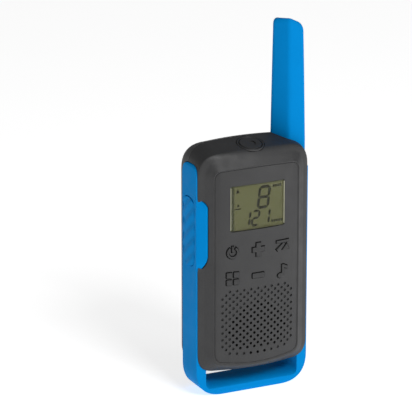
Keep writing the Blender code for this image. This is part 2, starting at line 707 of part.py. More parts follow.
def make_antenna():
    """The blue sleeve over a brass stub, a steel rod and the winding that is the aerial."""
    plan = rounded([(20.2, -4.6), (28.4, -6.2), (28.8, 6.5), (26.0, 10.2), (17.6, 9.4), (14.4, 3.0)], 1.6, 2)

    def section(z, scale, tilt=0.0):
        mid_x, mid_y = ANTENNA_MIDDLE
        points = [(mid_x + (x - mid_x) * scale, mid_y + (y - mid_y) * scale) for x, y in plan]
        return [(x, y, z - tilt * (y - FRONT_Y / 2)) for x, y in points]

    sleeve = loft("sleeve", [section(121.0, 1.0), section(150.0, 0.93), section(175.8, 0.87, 0.20),
                             section(178.0, 0.80, 0.22), section(ANTENNA_TOP_Z, 0.66, 0.22)])
    root = [(13.4, 121.6), (28.3, 109.6), (BAND_OUTER_X, 108.4), (BAND_OUTER_X, 116.5), (28.6, 121.2),
            (27.4, 122.4), (14.4, 122.4)]
    add(sleeve, prism("antenna_root", root, -6.2, 9.2))
    x, y = ANTENNA_AXIS
    cut(sleeve, cylinder("antenna_bore", ANTENNA_BORE_R, 66, (x, y, 105), (0, 0, 1), 16))
    bake(sleeve)
    finish(sleeve, "antenna_sleeve", "blue")
    stub = turned("stub", [(0, 15), (1.9, 15), (1.9, 9), (2.6, 9), (2.6, 0), (0, 0)], (x, y, 96.2), steps=12)
    finish(stub, "antenna_stub", "brass")
    rod = cylinder("rod", 0.9, 58, (x, y, 111.6), steps=10)
    finish(rod, "antenna_rod", "steel")
    winding = coil("winding", 2.4, 0.4, 0, 40, 7, (x, y, 125), per_turn=8)
    finish(winding, "antenna_coil", "brass")


def make_cells():
    """Three cells side by side; the middle one faces the other way."""
    for k, name in enumerate(("left", "middle", "right")):
        x = (k - 1) * CELL_PITCH
        flipped = k == 1
        way = (0, 0, -1) if flipped else (0, 0, 1)
        foot = 68.3 if flipped else 19.4
        profile = [(0, CELL_LENGTH + 1.1), (2.6, CELL_LENGTH + 1.1), (2.6, CELL_LENGTH),
                   (CELL_R - 0.4, CELL_LENGTH), (CELL_R, CELL_LENGTH - 0.4), (CELL_R, 0.4),
                   (CELL_R - 0.4, 0), (0, 0)]
        finish(turned("cell", profile, (x, CELL_Y, foot), way, 20), f"battery_cell_{name}", "cell")
        spring_way = (0, 0, 1) if flipped else (0, 0, -1)
        spring_foot = foot + 0.9 if flipped else foot - 0.9
        spring = coil("spring", 3.2, 0.35, 0, 1.9, 2, (x, CELL_Y, spring_foot), spring_way)
        finish(spring, f"cell_spring_{name}", "steel")
        plate_z = (15.9, 16.5) if flipped else (70.5, 71.1)
        plate = block("plate", (x - 4.5, CELL_Y - 4, plate_z[0]), (x + 4.5, CELL_Y + 4, plate_z[1]))
        finish(plate, f"cell_contact_{name}", "brass")


# ---------------------------------------------------------------- moving parts

def make_talk_button():
    low_y, low_z, high_y, high_z = PTT
    outline = rounded_box((low_y + GAP, low_z + GAP, high_y - GAP, high_z - GAP), 5.4)
    button = prism("talk_cap", outline, -29.7, -27.0, "X")
    add(button, block("talk_stem", (-27.4, -4.2, 81.3), (-23.5, 1.5, 89.7)))
    add(button, block("talk_flange", (-24.1, -4.9, 80.3), (-23.3, 2.1, 90.7)))
    bake(button)
    put_origin(button, (-28.4, (low_y + high_y) / 2, (low_z + high_z) / 2))
    finish(button, "talk_button", "blue")


def make_top_button():
    top = Vector(TOP_BUTTON)
    profile = [(0, 0.25), (4.6, 0.25), (TOP_BUTTON_R, -0.1), (TOP_BUTTON_R, -2.7), (TOP_FLANGE_R, -2.7),
               (TOP_FLANGE_R, -3.4), (1.4, -3.4), (1.4, -5.6), (0, -5.6)]
    button = turned("top_cap", profile, top, TOP_WAY, 24)
    put_origin(button, top)
    finish(button, "top_button", "key")
    bezel = tube("bezel", TOP_BUTTON_R + 0.35, TOP_BEZEL_R, 0.75, top - TOP_WAY * 0.6, TOP_WAY, 24)
    finish(bezel, "top_button_bezel", "charcoal")


def make_battery_cover():
    outline = rounded_box((-COVER_X, COVER_BOTTOM_Z, COVER_X, COVER_TOP_Z), 2.8)
    cover = prism("cover", outline, COVER_IN_Y, BACK_Y)
    cut(cover, block("latch_slot", (-3.0, 11, 64.0), (3.0, 16, 71.4)))
    bake(cover)
    put_origin(cover, (0, BACK_Y, COVER_BOTTOM_Z))
    finish(cover, "battery_cover", "charcoal")
    latch = prism("latch_pad", rounded_box((-5.0, 65.8, 5.0, 71.9), 1.2), BACK_Y + GAP, 15.3)
    add(latch, block("latch_key", (-2.7, 13.1, 66.8), (2.7, 14.6, 71.1)))
    bake(latch)
    put_origin(latch, (0, BACK_Y, 69))
    finish(latch, "battery_latch", "key")


def make_port_cover():
    outline = rounded_box(PORT, 3.8)
    cover = prism("flap", outline, 26.7, 29.2, "X")
    bake(cover)
    put_origin(cover, (29.2, 0, PORT[1]))
    finish(cover, "port_cover", "rubber")


def make_belt_clip():
    y, z = CLIP_PIVOT
    bracket = block("bracket_base", (-9.0, BACK_Y + GAP, 95.5), (9.0, 15.4, 114.5))
    ear = [(14.8, z - 3.6), (y, z - 2.2), (y + 1.6, z - 1.6), (y + 2.2, z), (y + 1.6, z + 1.6), (y, z + 2.2),
           (14.8, z + 3.6)]
    for side in (-1, 1):
        low, high = sorted((side * 6.0, side * 8.0))
        add(bracket, prism(f"ear_{side}", ear, low, high, "X"))
    cut(bracket, cylinder("pin_way", 1.15, 24, (-12, y, z), (1, 0, 0), 12))
    for k, screw_z in enumerate(BRACKET_SCREWS):
        cut(bracket, cylinder(f"bracket_way_{k}", 1.2, 8, (0, 12, screw_z), (0, 1, 0), 12))
    bake(bracket)
    finish(bracket, "clip_bracket", "charcoal")
    pin = cylinder("pin", PIN_R, 15.6, (-7.8, y, z), (1, 0, 0), 12)
    finish(pin, "clip_pin", "steel")
    spring = coil("clip_coil", 1.6, 0.3, -2.6, 2.6, 5, (0, y, z), (1, 0, 0), 8)
    finish(spring, "clip_spring", "steel")
    profile = [(20.6, 114.6), (20.8, 105.0), (20.4, 91.0), (18.6, 82.5), (15.4, 77.6), (14.5, 75.6),
               (15.4, 74.9), (17.4, 75.6), (20.6, 81.4), (22.5, 91.0), (22.9, 105.0), (22.6, 115.6),
               (21.6, 116.6)]
    clip = prism("clip_arm", profile, -8.5, 8.5, "X")
    hub = [(y - 2.0, z), (y - 1.4, z - 1.4), (y, z - 2.0), (21.6, z - 3.4), (21.6, z + 3.4), (y, z + 2.0),
           (y - 1.4, z + 1.4)]
    for side in (-1, 1):
        low, high = sorted((side * 3.4, side * 5.5))
        add(clip, prism(f"lug_{side}", hub, low, high, "X"))
    cut(clip, cylinder("clip_bore", 1.15, 24, (-12, y, z), (1, 0, 0), 12))
    bake(clip)
    put_origin(clip, (0, y, z))
    finish(clip, "belt_clip", "charcoal")


def make_screws():
    """Pan-head screws: four hold the housings together, two hold the clip's bracket."""
    def screw(name, at, length):
        profile = [(0, 1.1), (1.2, 1.1), (1.8, 0.6), (1.8, 0), (PIN_R, 0), (PIN_R, -length),
                   (0, -length - 0.6)]
        finish(turned(name, profile, at, (0, 1, 0), 12), name, "steel")

    for k, (x, z) in enumerate(CASE_SCREWS):
        screw(f"case_screw_{k + 1}", (x, 12.6, z), 14)
    for k, z in enumerate(BRACKET_SCREWS):
        screw(f"bracket_screw_{k + 1}", (0, 15.7, z), 5.5)


make_front_housing()
make_rear_housing()
make_bumper_frame()
make_front_panel()
make_keys()
make_display()
make_boards()
make_speaker()
make_antenna()
make_cells()
make_talk_button()
make_top_button()
make_battery_cover()
make_port_cover()
make_belt_clip()
make_screws()
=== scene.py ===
# %% [markdown]
# # A hand-held two-way radio
# The real thing is a small moulded casing that holds three round cells, with a soft blue
# frame round its sides and foot and a blue sleeve over its aerial. Its working model is
# already fixed: sizes, joints and clearances are settled there. This script gives that
# frame its finished surfaces, and each piece is made where the frame says it is.

# %% Load the fixed frame
import math

import bmesh
import bpy
from mathutils import Matrix, Vector


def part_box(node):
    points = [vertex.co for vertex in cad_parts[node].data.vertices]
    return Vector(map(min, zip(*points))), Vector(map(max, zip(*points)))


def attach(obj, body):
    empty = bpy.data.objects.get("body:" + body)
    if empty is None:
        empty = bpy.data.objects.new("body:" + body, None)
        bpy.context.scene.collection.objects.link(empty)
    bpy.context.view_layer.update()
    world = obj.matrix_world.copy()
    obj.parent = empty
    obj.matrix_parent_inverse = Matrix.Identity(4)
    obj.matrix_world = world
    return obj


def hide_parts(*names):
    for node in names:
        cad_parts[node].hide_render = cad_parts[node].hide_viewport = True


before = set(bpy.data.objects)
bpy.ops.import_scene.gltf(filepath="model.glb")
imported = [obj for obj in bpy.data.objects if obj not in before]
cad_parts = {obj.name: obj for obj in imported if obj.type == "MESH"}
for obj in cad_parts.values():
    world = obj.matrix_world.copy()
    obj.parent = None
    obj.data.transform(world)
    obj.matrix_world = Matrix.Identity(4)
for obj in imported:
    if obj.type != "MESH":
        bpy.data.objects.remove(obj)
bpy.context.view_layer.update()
MM = 0.001

# %% [markdown]
# ## Sizes
# A maker's drawing names its few driving sizes and works the rest out from them. Some are
# read from the frame's own boxes, in millimetres, and the others are the casing's sections
# and the grille's pitch, which a box can't tell.

# %% Driving sizes
def reach(node):
    """A node's lowest and highest corner, in millimetres."""
    low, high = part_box(node)
    return low / MM, high / MM


GAP = 0.3
SEAM = 0.14
panel_low, panel_high = reach("front_panel")
FRONT_Y = panel_low.y
PANEL_X = panel_high.x
PANEL_BACK_Y = -12.8
SEAT_Y = -12.5
HALF_WIDTH = 28.5
BOTTOM_Z = 11.4
SEAM_Y = 2.5
SEAT_X = 25.9
INSIDE_X = 24.4
BAND_X = 29.0
BOW_RADIUS = 126.0
BOW_FULL_Y = -12.0
BOW_END_Y = -7.5
ANTENNA_X, ANTENNA_Y = 21.5, 2.0
TOP_SLOPE = math.atan2(2.4, 9.85)
TOP_WAY = Vector((0, -math.sin(TOP_SLOPE), math.cos(TOP_SLOPE)))
TOP_BUTTON = Vector((0.0, -5.0, 121.42))
print(f"panel {2 * PANEL_X:.1f} mm wide, face at y {FRONT_Y:.1f} mm")

# %% [markdown]
# ## Camera
# The radio is seen from its left and a little above, from far off through a long lens, so
# that its upright edges stay nearly parallel. The aim is left of the casing, which leaves
# the radio to the right of the middle. The camera comes before any piece, because it only
# depends on the frame.

# %% Camera
CAMERA_AZIMUTH = math.radians(-25.59)
CAMERA_ELEVATION = math.radians(18.0)
CAMERA_DISTANCE = 1.4
CAMERA_LENS = 265.7
CAMERA_AIM = Vector((-27.17, FRONT_Y, 99.9)) * MM


def direction(azimuth, elevation):
    """From the radio towards a light or camera: azimuth 0 is in front, elevation is up."""
    flat = math.cos(elevation)
    return Vector((math.sin(azimuth) * flat, -math.cos(azimuth) * flat, math.sin(elevation)))


camera_data = bpy.data.cameras.new("camera")
camera_data.lens = CAMERA_LENS
camera_data.sensor_width = 36.0
camera = bpy.data.objects.new("camera", camera_data)
bpy.context.scene.collection.objects.link(camera)
camera_way = direction(CAMERA_AZIMUTH, CAMERA_ELEVATION)
camera.location = CAMERA_AIM + camera_way * CAMERA_DISTANCE
camera.rotation_mode = "QUATERNION"
camera.rotation_quaternion = (-camera_way).to_track_quat("-Z", "Y")
bpy.context.scene.camera = camera
print("camera at", [round(value, 3) for value in camera.location])

# %% [markdown]
# ## Nodes in one call
# Both shader trees and geometry trees are lists of nodes joined by links. A small helper
# adds a node, sets its options, and either links or fills each input, so that a tree can
# be read from top to bottom.

# %% Node helper
def node(tree, kind, options, inputs):
    """Add a node: options are its settings, inputs are values or other nodes' sockets."""
    made = tree.nodes.new(kind)
    for name, value in options.items():
        setattr(made, name, value)
    for key, value in inputs.items():
        if isinstance(value, bpy.types.NodeSocket):
            tree.links.new(value, made.inputs[key])
        else:
            made.inputs[key].default_value = value
    return made


def maths(tree, operation, first, second=0.0):
    return node(tree, "ShaderNodeMath", {"operation": operation}, {0: first, 1: second}).outputs[0]


# %% [markdown]
# ## Finishes
# Moulded plastic is never one flat colour. The mould's spark-eroded skin gives a fine
# grain, the filler drifts a little in tone across a part, and handling rubs the edges
# paler and smoother. Each finish below reads Object coordinates, whose unit is a metre
# here, so a scale of 2500 is a grain of 0.4 mm.

# %% Parts of a finish
def new_finish(name, specular=0.5):
    material = bpy.data.materials.new(name)
    material.use_nodes = True
    shader = material.node_tree.nodes["Principled BSDF"]
    shader.inputs["Specular IOR Level"].default_value = specular
    return material, material.node_tree, shader


def object_place(tree, stretch=(1, 1, 1)):
    place = node(tree, "ShaderNodeTexCoord", {}, {}).outputs["Object"]
    if stretch == (1, 1, 1):
        return place
    return node(tree, "ShaderNodeMapping", {}, {"Vector": place, "Scale": stretch}).outputs[0]


def grain(tree, place, scale, detail=3.0, roughness=0.55):
    inputs = {"Vector": place, "Scale": scale, "Detail": detail, "Roughness": roughness}
    return node(tree, "ShaderNodeTexNoise", {}, inputs).outputs[0]


def between(tree, value, low, high, from_low=0.3, from_high=0.7):
    inputs = {"Value": value, "From Min": from_low, "From Max": from_high, "To Min": low, "To Max": high}
    return node(tree, "ShaderNodeMapRange", {}, inputs).outputs[0]


def blend_colours(tree, share, first, second, way="MIX"):
    def colour(value):
        return value if isinstance(value, bpy.types.NodeSocket) else (*value, 1.0)

    options = {"data_type": "RGBA", "blend_type": way}
    return node(tree, "ShaderNodeMix", options, {0: share, 6: colour(first), 7: colour(second)}).outputs[2]


def rubbed_edges(tree, place, radius):
    """Near 1 along the sharp edges, broken up as handling does, and 0 on the flats."""
    eased = node(tree, "ShaderNodeBevel", {"samples": 4}, {"Radius": radius * MM}).outputs[0]
    plain = node(tree, "ShaderNodeNewGeometry", {}, {}).outputs["Normal"]
    alike = node(tree, "ShaderNodeVectorMath", {"operation": "DOT_PRODUCT"}, {0: eased, 1: plain})
    edge = between(tree, alike.outputs["Value"], 1.0, 0.0, 0.82, 0.99)
    patches = between(tree, grain(tree, place, 320, 5), 0.25, 1.0, 0.35, 0.6)
    return maths(tree, "MULTIPLY", edge, patches)


def relief(tree, shader, height, depth, strength=0.6):
    inputs = {"Height": height, "Distance": depth * MM, "Strength": strength}
    tree.links.new(node(tree, "ShaderNodeBump", {}, inputs).outputs[0], shader.inputs["Normal"])


# %% [markdown]
# ### Moulded plastics and rubber
# One recipe serves every moulded part, with its own tones, grain and gloss: the charcoal
# casing has the coarsest grain, the panel is smoother, the blue frame is a soft-touch
# rubber with hardly any gloss, and the keys are matt.

# %% Moulded finishes
def moulded(name, dark, light, roughness, skin=2500, depth=0.02, specular=0.5, wear=0.3, rub=0.35):
    material, tree, shader = new_finish(name, specular)
    place = object_place(tree)
    drift = grain(tree, place, 38, 4)
    fine = grain(tree, place, skin, 2)
    tone = blend_colours(tree, between(tree, drift, 0.0, 1.0), dark, light)
    speckled = blend_colours(tree, between(tree, fine, 0.0, 0.7), tone, light)
    worn = maths(tree, "MULTIPLY", rubbed_edges(tree, place, rub), wear)
    pale = tuple(min(1.0, 1.7 * value + 0.02) for value in light)
    tree.links.new(blend_colours(tree, worn, speckled, pale), shader.inputs["Base Color"])
    gloss = between(tree, grain(tree, place, 170, 4), roughness - 0.06, roughness + 0.06)
    tree.links.new(maths(tree, "SUBTRACT", gloss, maths(tree, "MULTIPLY", worn, 0.3)),
                   shader.inputs["Roughness"])
    relief(tree, shader, fine, depth)
    return material


charcoal = moulded("charcoal", (0.019, 0.019, 0.02), (0.034, 0.034, 0.035), 0.52, 1500, 0.035)
panel_finish = moulded("panel", (0.026, 0.026, 0.027), (0.034, 0.034, 0.035), 0.5, 1900, 0.015)
blue = moulded("blue", (0.0, 0.225, 0.6), (0.0, 0.255, 0.68), 0.6, 3000, 0.012, 0.03, 0.08)
key_finish = moulded("key", (0.024, 0.024, 0.025), (0.031, 0.031, 0.032), 0.55, 3200, 0.01, wear=0.15)
rubber = moulded("rubber", (0.012, 0.012, 0.013), (0.024, 0.024, 0.024), 0.75, 1800, 0.03, 0.3, 0.2)
black_part = moulded("black_part", (0.014, 0.014, 0.015), (0.026, 0.026, 0.026), 0.45, 2400)
white_plastic = moulded("white_plastic", (0.62, 0.62, 0.59), (0.74, 0.74, 0.71), 0.45, 2600, wear=0.1)
print("moulded finishes: charcoal, panel, blue, key, rubber, black, white")

# %% [markdown]
# ### Metals
# Plated steel and brass are stretched along one way by rolling or turning. The same noise,
# squeezed on two axes, gives the fine streaks, and it moves roughness more than colour.

# %% Metals
def rolled(name, dark, light, roughness, stretch=(60, 60, 2200)):
    material, tree, shader = new_finish(name)
    place = object_place(tree)
    streaks = grain(tree, object_place(tree, stretch), 1.0, 3)
    stains = grain(tree, place, 220, 5)
    tone = blend_colours(tree, between(tree, streaks, 0.0, 1.0), dark, light)
    dull = tuple(0.55 * value for value in dark)
    tree.links.new(blend_colours(tree, between(tree, stains, 0.0, 0.5, 0.5, 0.8), tone, dull),
                   shader.inputs["Base Color"])
    tree.links.new(between(tree, streaks, roughness - 0.08, roughness + 0.12), shader.inputs["Roughness"])
    shader.inputs["Metallic"].default_value = 1.0
    relief(tree, shader, streaks, 0.01, 0.4)
    return material


steel = rolled("steel", (0.46, 0.46, 0.47), (0.66, 0.66, 0.66), 0.32)
brass = rolled("brass", (0.62, 0.42, 0.17), (0.8, 0.6, 0.28), 0.3)
print("metals: steel, brass")

# %% [markdown]
# ### Display, board, cone and cells
# The display is a plain reflective one: an olive back, faintly mottled, with a painted
# shadow along its left and top edges where the window's frame shades it. Its segments are a
# near-black ink. The board is green solder mask with darker tracks, the speaker's cone is
# pressed film with fine rings, and each cell has a dark sleeve with a paler band.

# %% Display finishes
# Where the painted shadow of the window's frame ends on the display, in millimetres.
LCD_SHADOW_LEFT = -11.7
LCD_SHADOW_TOP = 103.4


def display_back():
    material, tree, shader = new_finish("lcd", 0.3)
    place = object_place(tree)
    mottle = between(tree, grain(tree, place, 500, 4), 0.0, 1.0)
    tone = blend_colours(tree, mottle, (0.138, 0.144, 0.052), (0.158, 0.163, 0.064))
    axes = node(tree, "ShaderNodeSeparateXYZ", {}, {"Vector": place}).outputs
    # Painted shadow: the display is darkened along its left and top edges, as if the window's frame shaded
    # it.
    left = between(tree, axes["X"], 1.0, 0.0, (LCD_SHADOW_LEFT - 0.5) * MM, (LCD_SHADOW_LEFT + 0.3) * MM)
    top = between(tree, axes["Z"], 0.0, 1.0, (LCD_SHADOW_TOP - 0.3) * MM, (LCD_SHADOW_TOP + 0.5) * MM)
    shade = maths(tree, "MAXIMUM", left, top)
    tree.links.new(blend_colours(tree, shade, tone, (0.045, 0.05, 0.018)), shader.inputs["Base Color"])
    tree.links.new(between(tree, mottle, 0.3, 0.42, 0.0, 1.0), shader.inputs["Roughness"])
    relief(tree, shader, mottle, 0.005, 0.3)
    return material


def display_ink():
    material, tree, shader = new_finish("lcd_ink", 0.2)
    mottle = grain(tree, object_place(tree), 1500, 3)
    tree.links.new(blend_colours(tree, mottle, (0.006, 0.006, 0.003), (0.02, 0.02, 0.01)),
                   shader.inputs["Base Color"])
    tree.links.new(between(tree, mottle, 0.35, 0.5), shader.inputs["Roughness"])
    return material


def clear_window():
    """A clear moulded pane, with the faint swirls that wiping leaves."""
    material, tree, shader = new_finish("window", 0.5)
    swirls = grain(tree, object_place(tree, (1, 1, 6)), 160, 6)
    tree.links.new(blend_colours(tree, swirls, (0.05, 0.05, 0.03), (0.09, 0.09, 0.06)),
                   shader.inputs["Base Color"])
    tree.links.new(between(tree, swirls, 0.05, 0.14), shader.inputs["Roughness"])
    shader.inputs["Alpha"].default_value = 0.12
    return material


lcd = display_back()
# A pale finish for the strips at the pane's sides: painted highlights of its polished edges.
edge_highlight_finish = moulded("pane_edge_highlight", (0.3, 0.3, 0.2), (0.4, 0.4, 0.28), 0.25, 3000, 0.005, 0.5, 0.1)
lcd_ink = display_ink()
window = clear_window()
print("display finishes: back, ink, window")

# %% Board, cone and cell finishes
def circuit_board():
    material, tree, shader = new_finish("board", 0.5)
    place = object_place(tree)
    tracks = node(tree, "ShaderNodeTexVoronoi", {"feature": "DISTANCE_TO_EDGE", "distance": "CHEBYCHEV"},
                  {"Vector": place, "Scale": 260.0, "Randomness": 0.6}).outputs["Distance"]
    copper = between(tree, tracks, 1.0, 0.0, 0.05, 0.12)
    tone = blend_colours(tree, grain(tree, place, 90, 3), (0.008, 0.1, 0.035), (0.014, 0.15, 0.055))
    tree.links.new(blend_colours(tree, copper, tone, (0.03, 0.24, 0.1)), shader.inputs["Base Color"])
    tree.links.new(between(tree, grain(tree, place, 700, 3), 0.28, 0.45), shader.inputs["Roughness"])
    relief(tree, shader, copper, 0.03, 0.6)
    return material


def cone_film():
    material, tree, shader = new_finish("cone", 0.3)
    place = object_place(tree)
    rings = node(tree, "ShaderNodeTexWave", {"wave_type": "RINGS", "rings_direction": "Y"},
                 {"Vector": place, "Scale": 260.0, "Distortion": 0.6}).outputs[1]
    tree.links.new(blend_colours(tree, rings, (0.022, 0.02, 0.018), (0.05, 0.046, 0.04)),
                   shader.inputs["Base Color"])
    tree.links.new(between(tree, grain(tree, place, 900, 3), 0.6, 0.85), shader.inputs["Roughness"])
    relief(tree, shader, rings, 0.05, 0.4)
    return material


def cell_sleeve():
    """A shrunk sleeve: dark along the can, paler over the end with the positive nub."""
    material, tree, shader = new_finish("cell", 0.5)
    place = object_place(tree)
    height = node(tree, "ShaderNodeSeparateXYZ", {}, {"Vector": place}).outputs["Z"]
    band = between(tree, height, 0.0, 1.0, 56.4 * MM, 56.6 * MM)
    tone = blend_colours(tree, grain(tree, place, 120, 4), (0.02, 0.021, 0.024), (0.034, 0.035, 0.04))
    tree.links.new(blend_colours(tree, band, tone, (0.3, 0.31, 0.32)), shader.inputs["Base Color"])
    tree.links.new(between(tree, grain(tree, place, 260, 4), 0.22, 0.36), shader.inputs["Roughness"])
    shader.inputs["Metallic"].default_value = 0.4
    relief(tree, shader, grain(tree, place, 500, 3), 0.02, 0.3)
    return material


board = circuit_board()
cone = cone_film()
cell = cell_sleeve()
print("inner finishes: board, cone, cell")

# %% [markdown]
# ## Mesh makers
# Almost every part of a moulded casing is an outline pushed through a depth, or a row of
# outlines joined into a shell, with openings cut out of it. So the helpers are few: eased
# outlines, a prism, a loft, a turned profile, and cuts that are made exactly.

# %% Outlines
def eased(corners, setbacks, steps=8):
    """A polygon with rounded corners, each starting a setback away from its corner."""
    if isinstance(setbacks, (int, float)):
        setbacks = [setbacks] * len(corners)
    points = []
    for k, corner in enumerate(corners):
        if not setbacks[k]:
            points.append(tuple(corner))
            continue
        corner = Vector(corner)
        before = Vector(corners[k - 1]) - corner
        after = Vector(corners[(k + 1) % len(corners)]) - corner
        start = corner + before.normalized() * min(setbacks[k], before.length / 2.02)
        end = corner + after.normalized() * min(setbacks[k], after.length / 2.02)
        for step in range(steps + 1):
            t = step / steps
            points.append(tuple(start * (1 - t) ** 2 + corner * 2 * t * (1 - t) + end * t ** 2))
    return points


def pad(box, setback, grow=0.0, steps=8):
    low_a, low_b, high_a, high_b = box
    corners = [(low_a - grow, low_b - grow), (high_a + grow, low_b - grow),
               (high_a + grow, high_b + grow), (low_a - grow, high_b + grow)]
    return eased(corners, setback, steps)


def arc(centre, radius, start, end, steps):
    """Points from one angle to another, in degrees."""
    turns = [math.radians(start + (end - start) * k / steps) for k in range(steps + 1)]
    return [(centre[0] + radius * math.cos(t), centre[1] + radius * math.sin(t)) for t in turns]


def shield(half_width, foot, head, foot_sag, head_sag, foot_corner, head_corner, steps=10):
    """The casing's outline: gently arched foot and head, straight sides, eased corners."""
    def arch(level, sag, corner, way):
        span = half_width - corner
        xs = [way * span * (2 * k / 14 - 1) for k in range(15)]
        return [(x, level + sag * (x / half_width) ** 2) for x in xs]

    def turn(start, corner, end):
        parts = [k / steps for k in range(1, steps)]
        return [tuple(start[i] * (1 - t) ** 2 + 2 * corner[i] * t * (1 - t) + end[i] * t ** 2 for i in (0, 1))
                for t in parts]

    low = arch(foot, foot_sag, foot_corner, 1)
    high = arch(head, -head_sag, head_corner, -1)
    low_side = low[-1][1] + foot_corner
    high_side = high[0][1] - head_corner
    points = low + turn(low[-1], (half_width, low[-1][1]), (half_width, low_side))
    points += [(half_width, low_side), (half_width, high_side)]
    points += turn((half_width, high_side), (half_width, high[0][1]), high[0]) + high
    points += turn(high[-1], (-half_width, high[-1][1]), (-half_width, high_side))
    points += [(-half_width, high_side), (-half_width, low_side)]
    return points + turn((-half_width, low_side), (-half_width, low[0][1]), low[0])


def grown(outline, distance):
    """An outline moved outwards by a distance, corner by corner."""
    area = sum(a[0] * b[1] - b[0] * a[1] for a, b in zip(outline, outline[1:] + outline[:1]))
    side = 1 if area > 0 else -1
    points = []
    for k, point in enumerate(outline):
        before = (Vector(point) - Vector(outline[k - 1])).normalized()
        after = (Vector(outline[(k + 1) % len(outline)]) - Vector(point)).normalized()
        out = Vector((before.y + after.y, -before.x - after.x)) * side
        stretch = max(0.5, 1 + before.dot(after))
        points.append(tuple(Vector(point) + out * distance / stretch))
    return points


# %% Solids
scene_collection = bpy.context.scene.collection


def add_object(name, mesh):
    made = bpy.data.objects.new(name, mesh)
    scene_collection.objects.link(made)
    return made


def evaluated_mesh(piece):
    bpy.context.view_layer.update()
    graph = bpy.context.evaluated_depsgraph_get()
    return bpy.data.meshes.new_from_object(piece.evaluated_get(graph), depsgraph=graph)


def face_outwards(shape):
    bmesh.ops.recalc_face_normals(shape, faces=shape.faces)
    if shape.calc_volume(signed=True) < 0:
        bmesh.ops.reverse_faces(shape, faces=shape.faces)


def loft(name, rings):
    """A closed solid through rings of equal point counts, in millimetres."""
    shape = bmesh.new()
    loops = [[shape.verts.new(Vector(point) * MM) for point in ring] for ring in rings]
    for lower, upper in zip(loops, loops[1:]):
        for k in range(len(lower)):
            after = (k + 1) % len(lower)
            shape.faces.new((lower[k], lower[after], upper[after], upper[k]))
    shape.faces.new(loops[0])
    shape.faces.new(loops[-1])
    face_outwards(shape)
    mesh = bpy.data.meshes.new(name)
    shape.to_mesh(mesh)
    shape.free()
    return add_object(name, mesh)


AXES = {"X": lambda a, b, depth: (depth, a, b), "Y": lambda a, b, depth: (a, depth, b),
        "Z": lambda a, b, depth: (a, b, depth)}


def prism(name, outline, low, high, axis="Y", ease=0.0, both=False):
    """An outline pushed from low to high along an axis, with an eased edge at low."""
    place = AXES[axis]
    levels = [(low, 0.0), (high, 0.0)]
    if ease:
        way = 1 if high > low else -1
        levels = [(low, ease), (low + 0.3 * ease * way, 0.3 * ease), (low + ease * way, 0.0), (high, 0.0)]
        if both:
            levels[-1:] = [(high - ease * way, 0.0), (high - 0.3 * ease * way, 0.3 * ease), (high, ease)]
    return loft(name, [[place(a, b, depth) for a, b in grown(outline, -inset)] for depth, inset in levels])


def turned(name, profile, at, way, steps=48):
    """A profile of (radius, height) turned round an axis: rings between its two ends."""
    turn = Vector(way).to_track_quat("Z", "Y").to_matrix()
    rings = []
    for radius, height in profile:
        circle = arc((0, 0), max(radius, 0.01), 0, 360 * (steps - 1) / steps, steps - 1)
        rings.append([tuple(Vector(at) + turn @ Vector((x, y, height))) for x, y in circle])
    return loft(name, rings)


def box(name, low, high):
    corners = [(low[0], low[2]), (high[0], low[2]), (high[0], high[2]), (low[0], high[2])]
    return prism(name, corners, low[1], high[1])


def bake(piece, *tools):
    """Apply a piece's modifiers and clear away the tools they used."""
    mesh = evaluated_mesh(piece)
    piece.modifiers.clear()
    piece.data = mesh
    for tool in tools:
        bpy.data.objects.remove(tool, do_unlink=True)
    return piece


def carve(piece, operation, tools):
    for tool in tools:
        change = piece.modifiers.new(tool.name, "BOOLEAN")
        change.operation = operation
        change.object = tool
        change.solver = "EXACT"
    return bake(piece, *tools)


def cut(piece, *tools):
    return carve(piece, "DIFFERENCE", tools)


def join(piece, *tools):
    return carve(piece, "UNION", tools)


def soften(piece, width, segments=3, angle=35):
    """Round the sharp edges, as a mould's corners are."""
    ease = piece.modifiers.new("ease", "BEVEL")
    ease.width = width * MM
    ease.segments = segments
    ease.limit_method = "ANGLE"
    ease.angle_limit = math.radians(angle)
    return bake(piece)


# %% [markdown]
# ### The bow of the front
# The casing's front is not flat: it is bowed round an upright axis, most at the face and
# not at all where the blue band starts. Cutting everything while the front is flat and
# bending it last is far simpler than cutting a curved wall. Narrow upright strips are
# scored in first, so that the bend has corners to move.

# %% Bow
def bow_front(piece, low_x, high_x, strip=1.2):
    shape = bmesh.new()
    shape.from_mesh(piece.data)
    count = int((high_x - low_x) / strip)
    for k in range(1, count):
        at = (low_x + (high_x - low_x) * k / count + 0.013) * MM
        everything = shape.verts[:] + shape.edges[:] + shape.faces[:]
        bmesh.ops.bisect_plane(shape, geom=everything, plane_co=(at, 0, 0), plane_no=(1, 0, 0))
    for vert in shape.verts:
        share = (BOW_END_Y * MM - vert.co.y) / ((BOW_END_Y - BOW_FULL_Y) * MM)
        share = max(0.0, min(1.0, share))
        vert.co.y += share * vert.co.x ** 2 / (2 * BOW_RADIUS * MM)
    shape.to_mesh(piece.data)
    shape.free()
    return piece


# %% Finishing a piece
piece_count = 0


def finish(piece, name, material, body, stands_for=(), smooth=32):
    """Name a piece, give it its finish, and tell the frame what it rides on and replaces."""
    global piece_count
    piece.name = name
    piece.data.name = name
    piece.data.materials.clear()
    piece.data.materials.append(material)
    piece.data.shade_smooth()
    piece.data.set_sharp_from_angle(angle=math.radians(smooth))
    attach(piece, body)
    if stands_for:
        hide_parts(*stands_for)
    piece_count += 1
    print(f"{name}: {len(piece.data.polygons)} faces on {body}")
    return piece


# %% [markdown]
# ## Geometry trees
# What repeats by a rule is made by Geometry Nodes. Each tree is built here with named
# inputs, run once on a piece, and its result is kept as a plain mesh. An input is set by
# its socket's identifier, because names may repeat and identifiers never do.

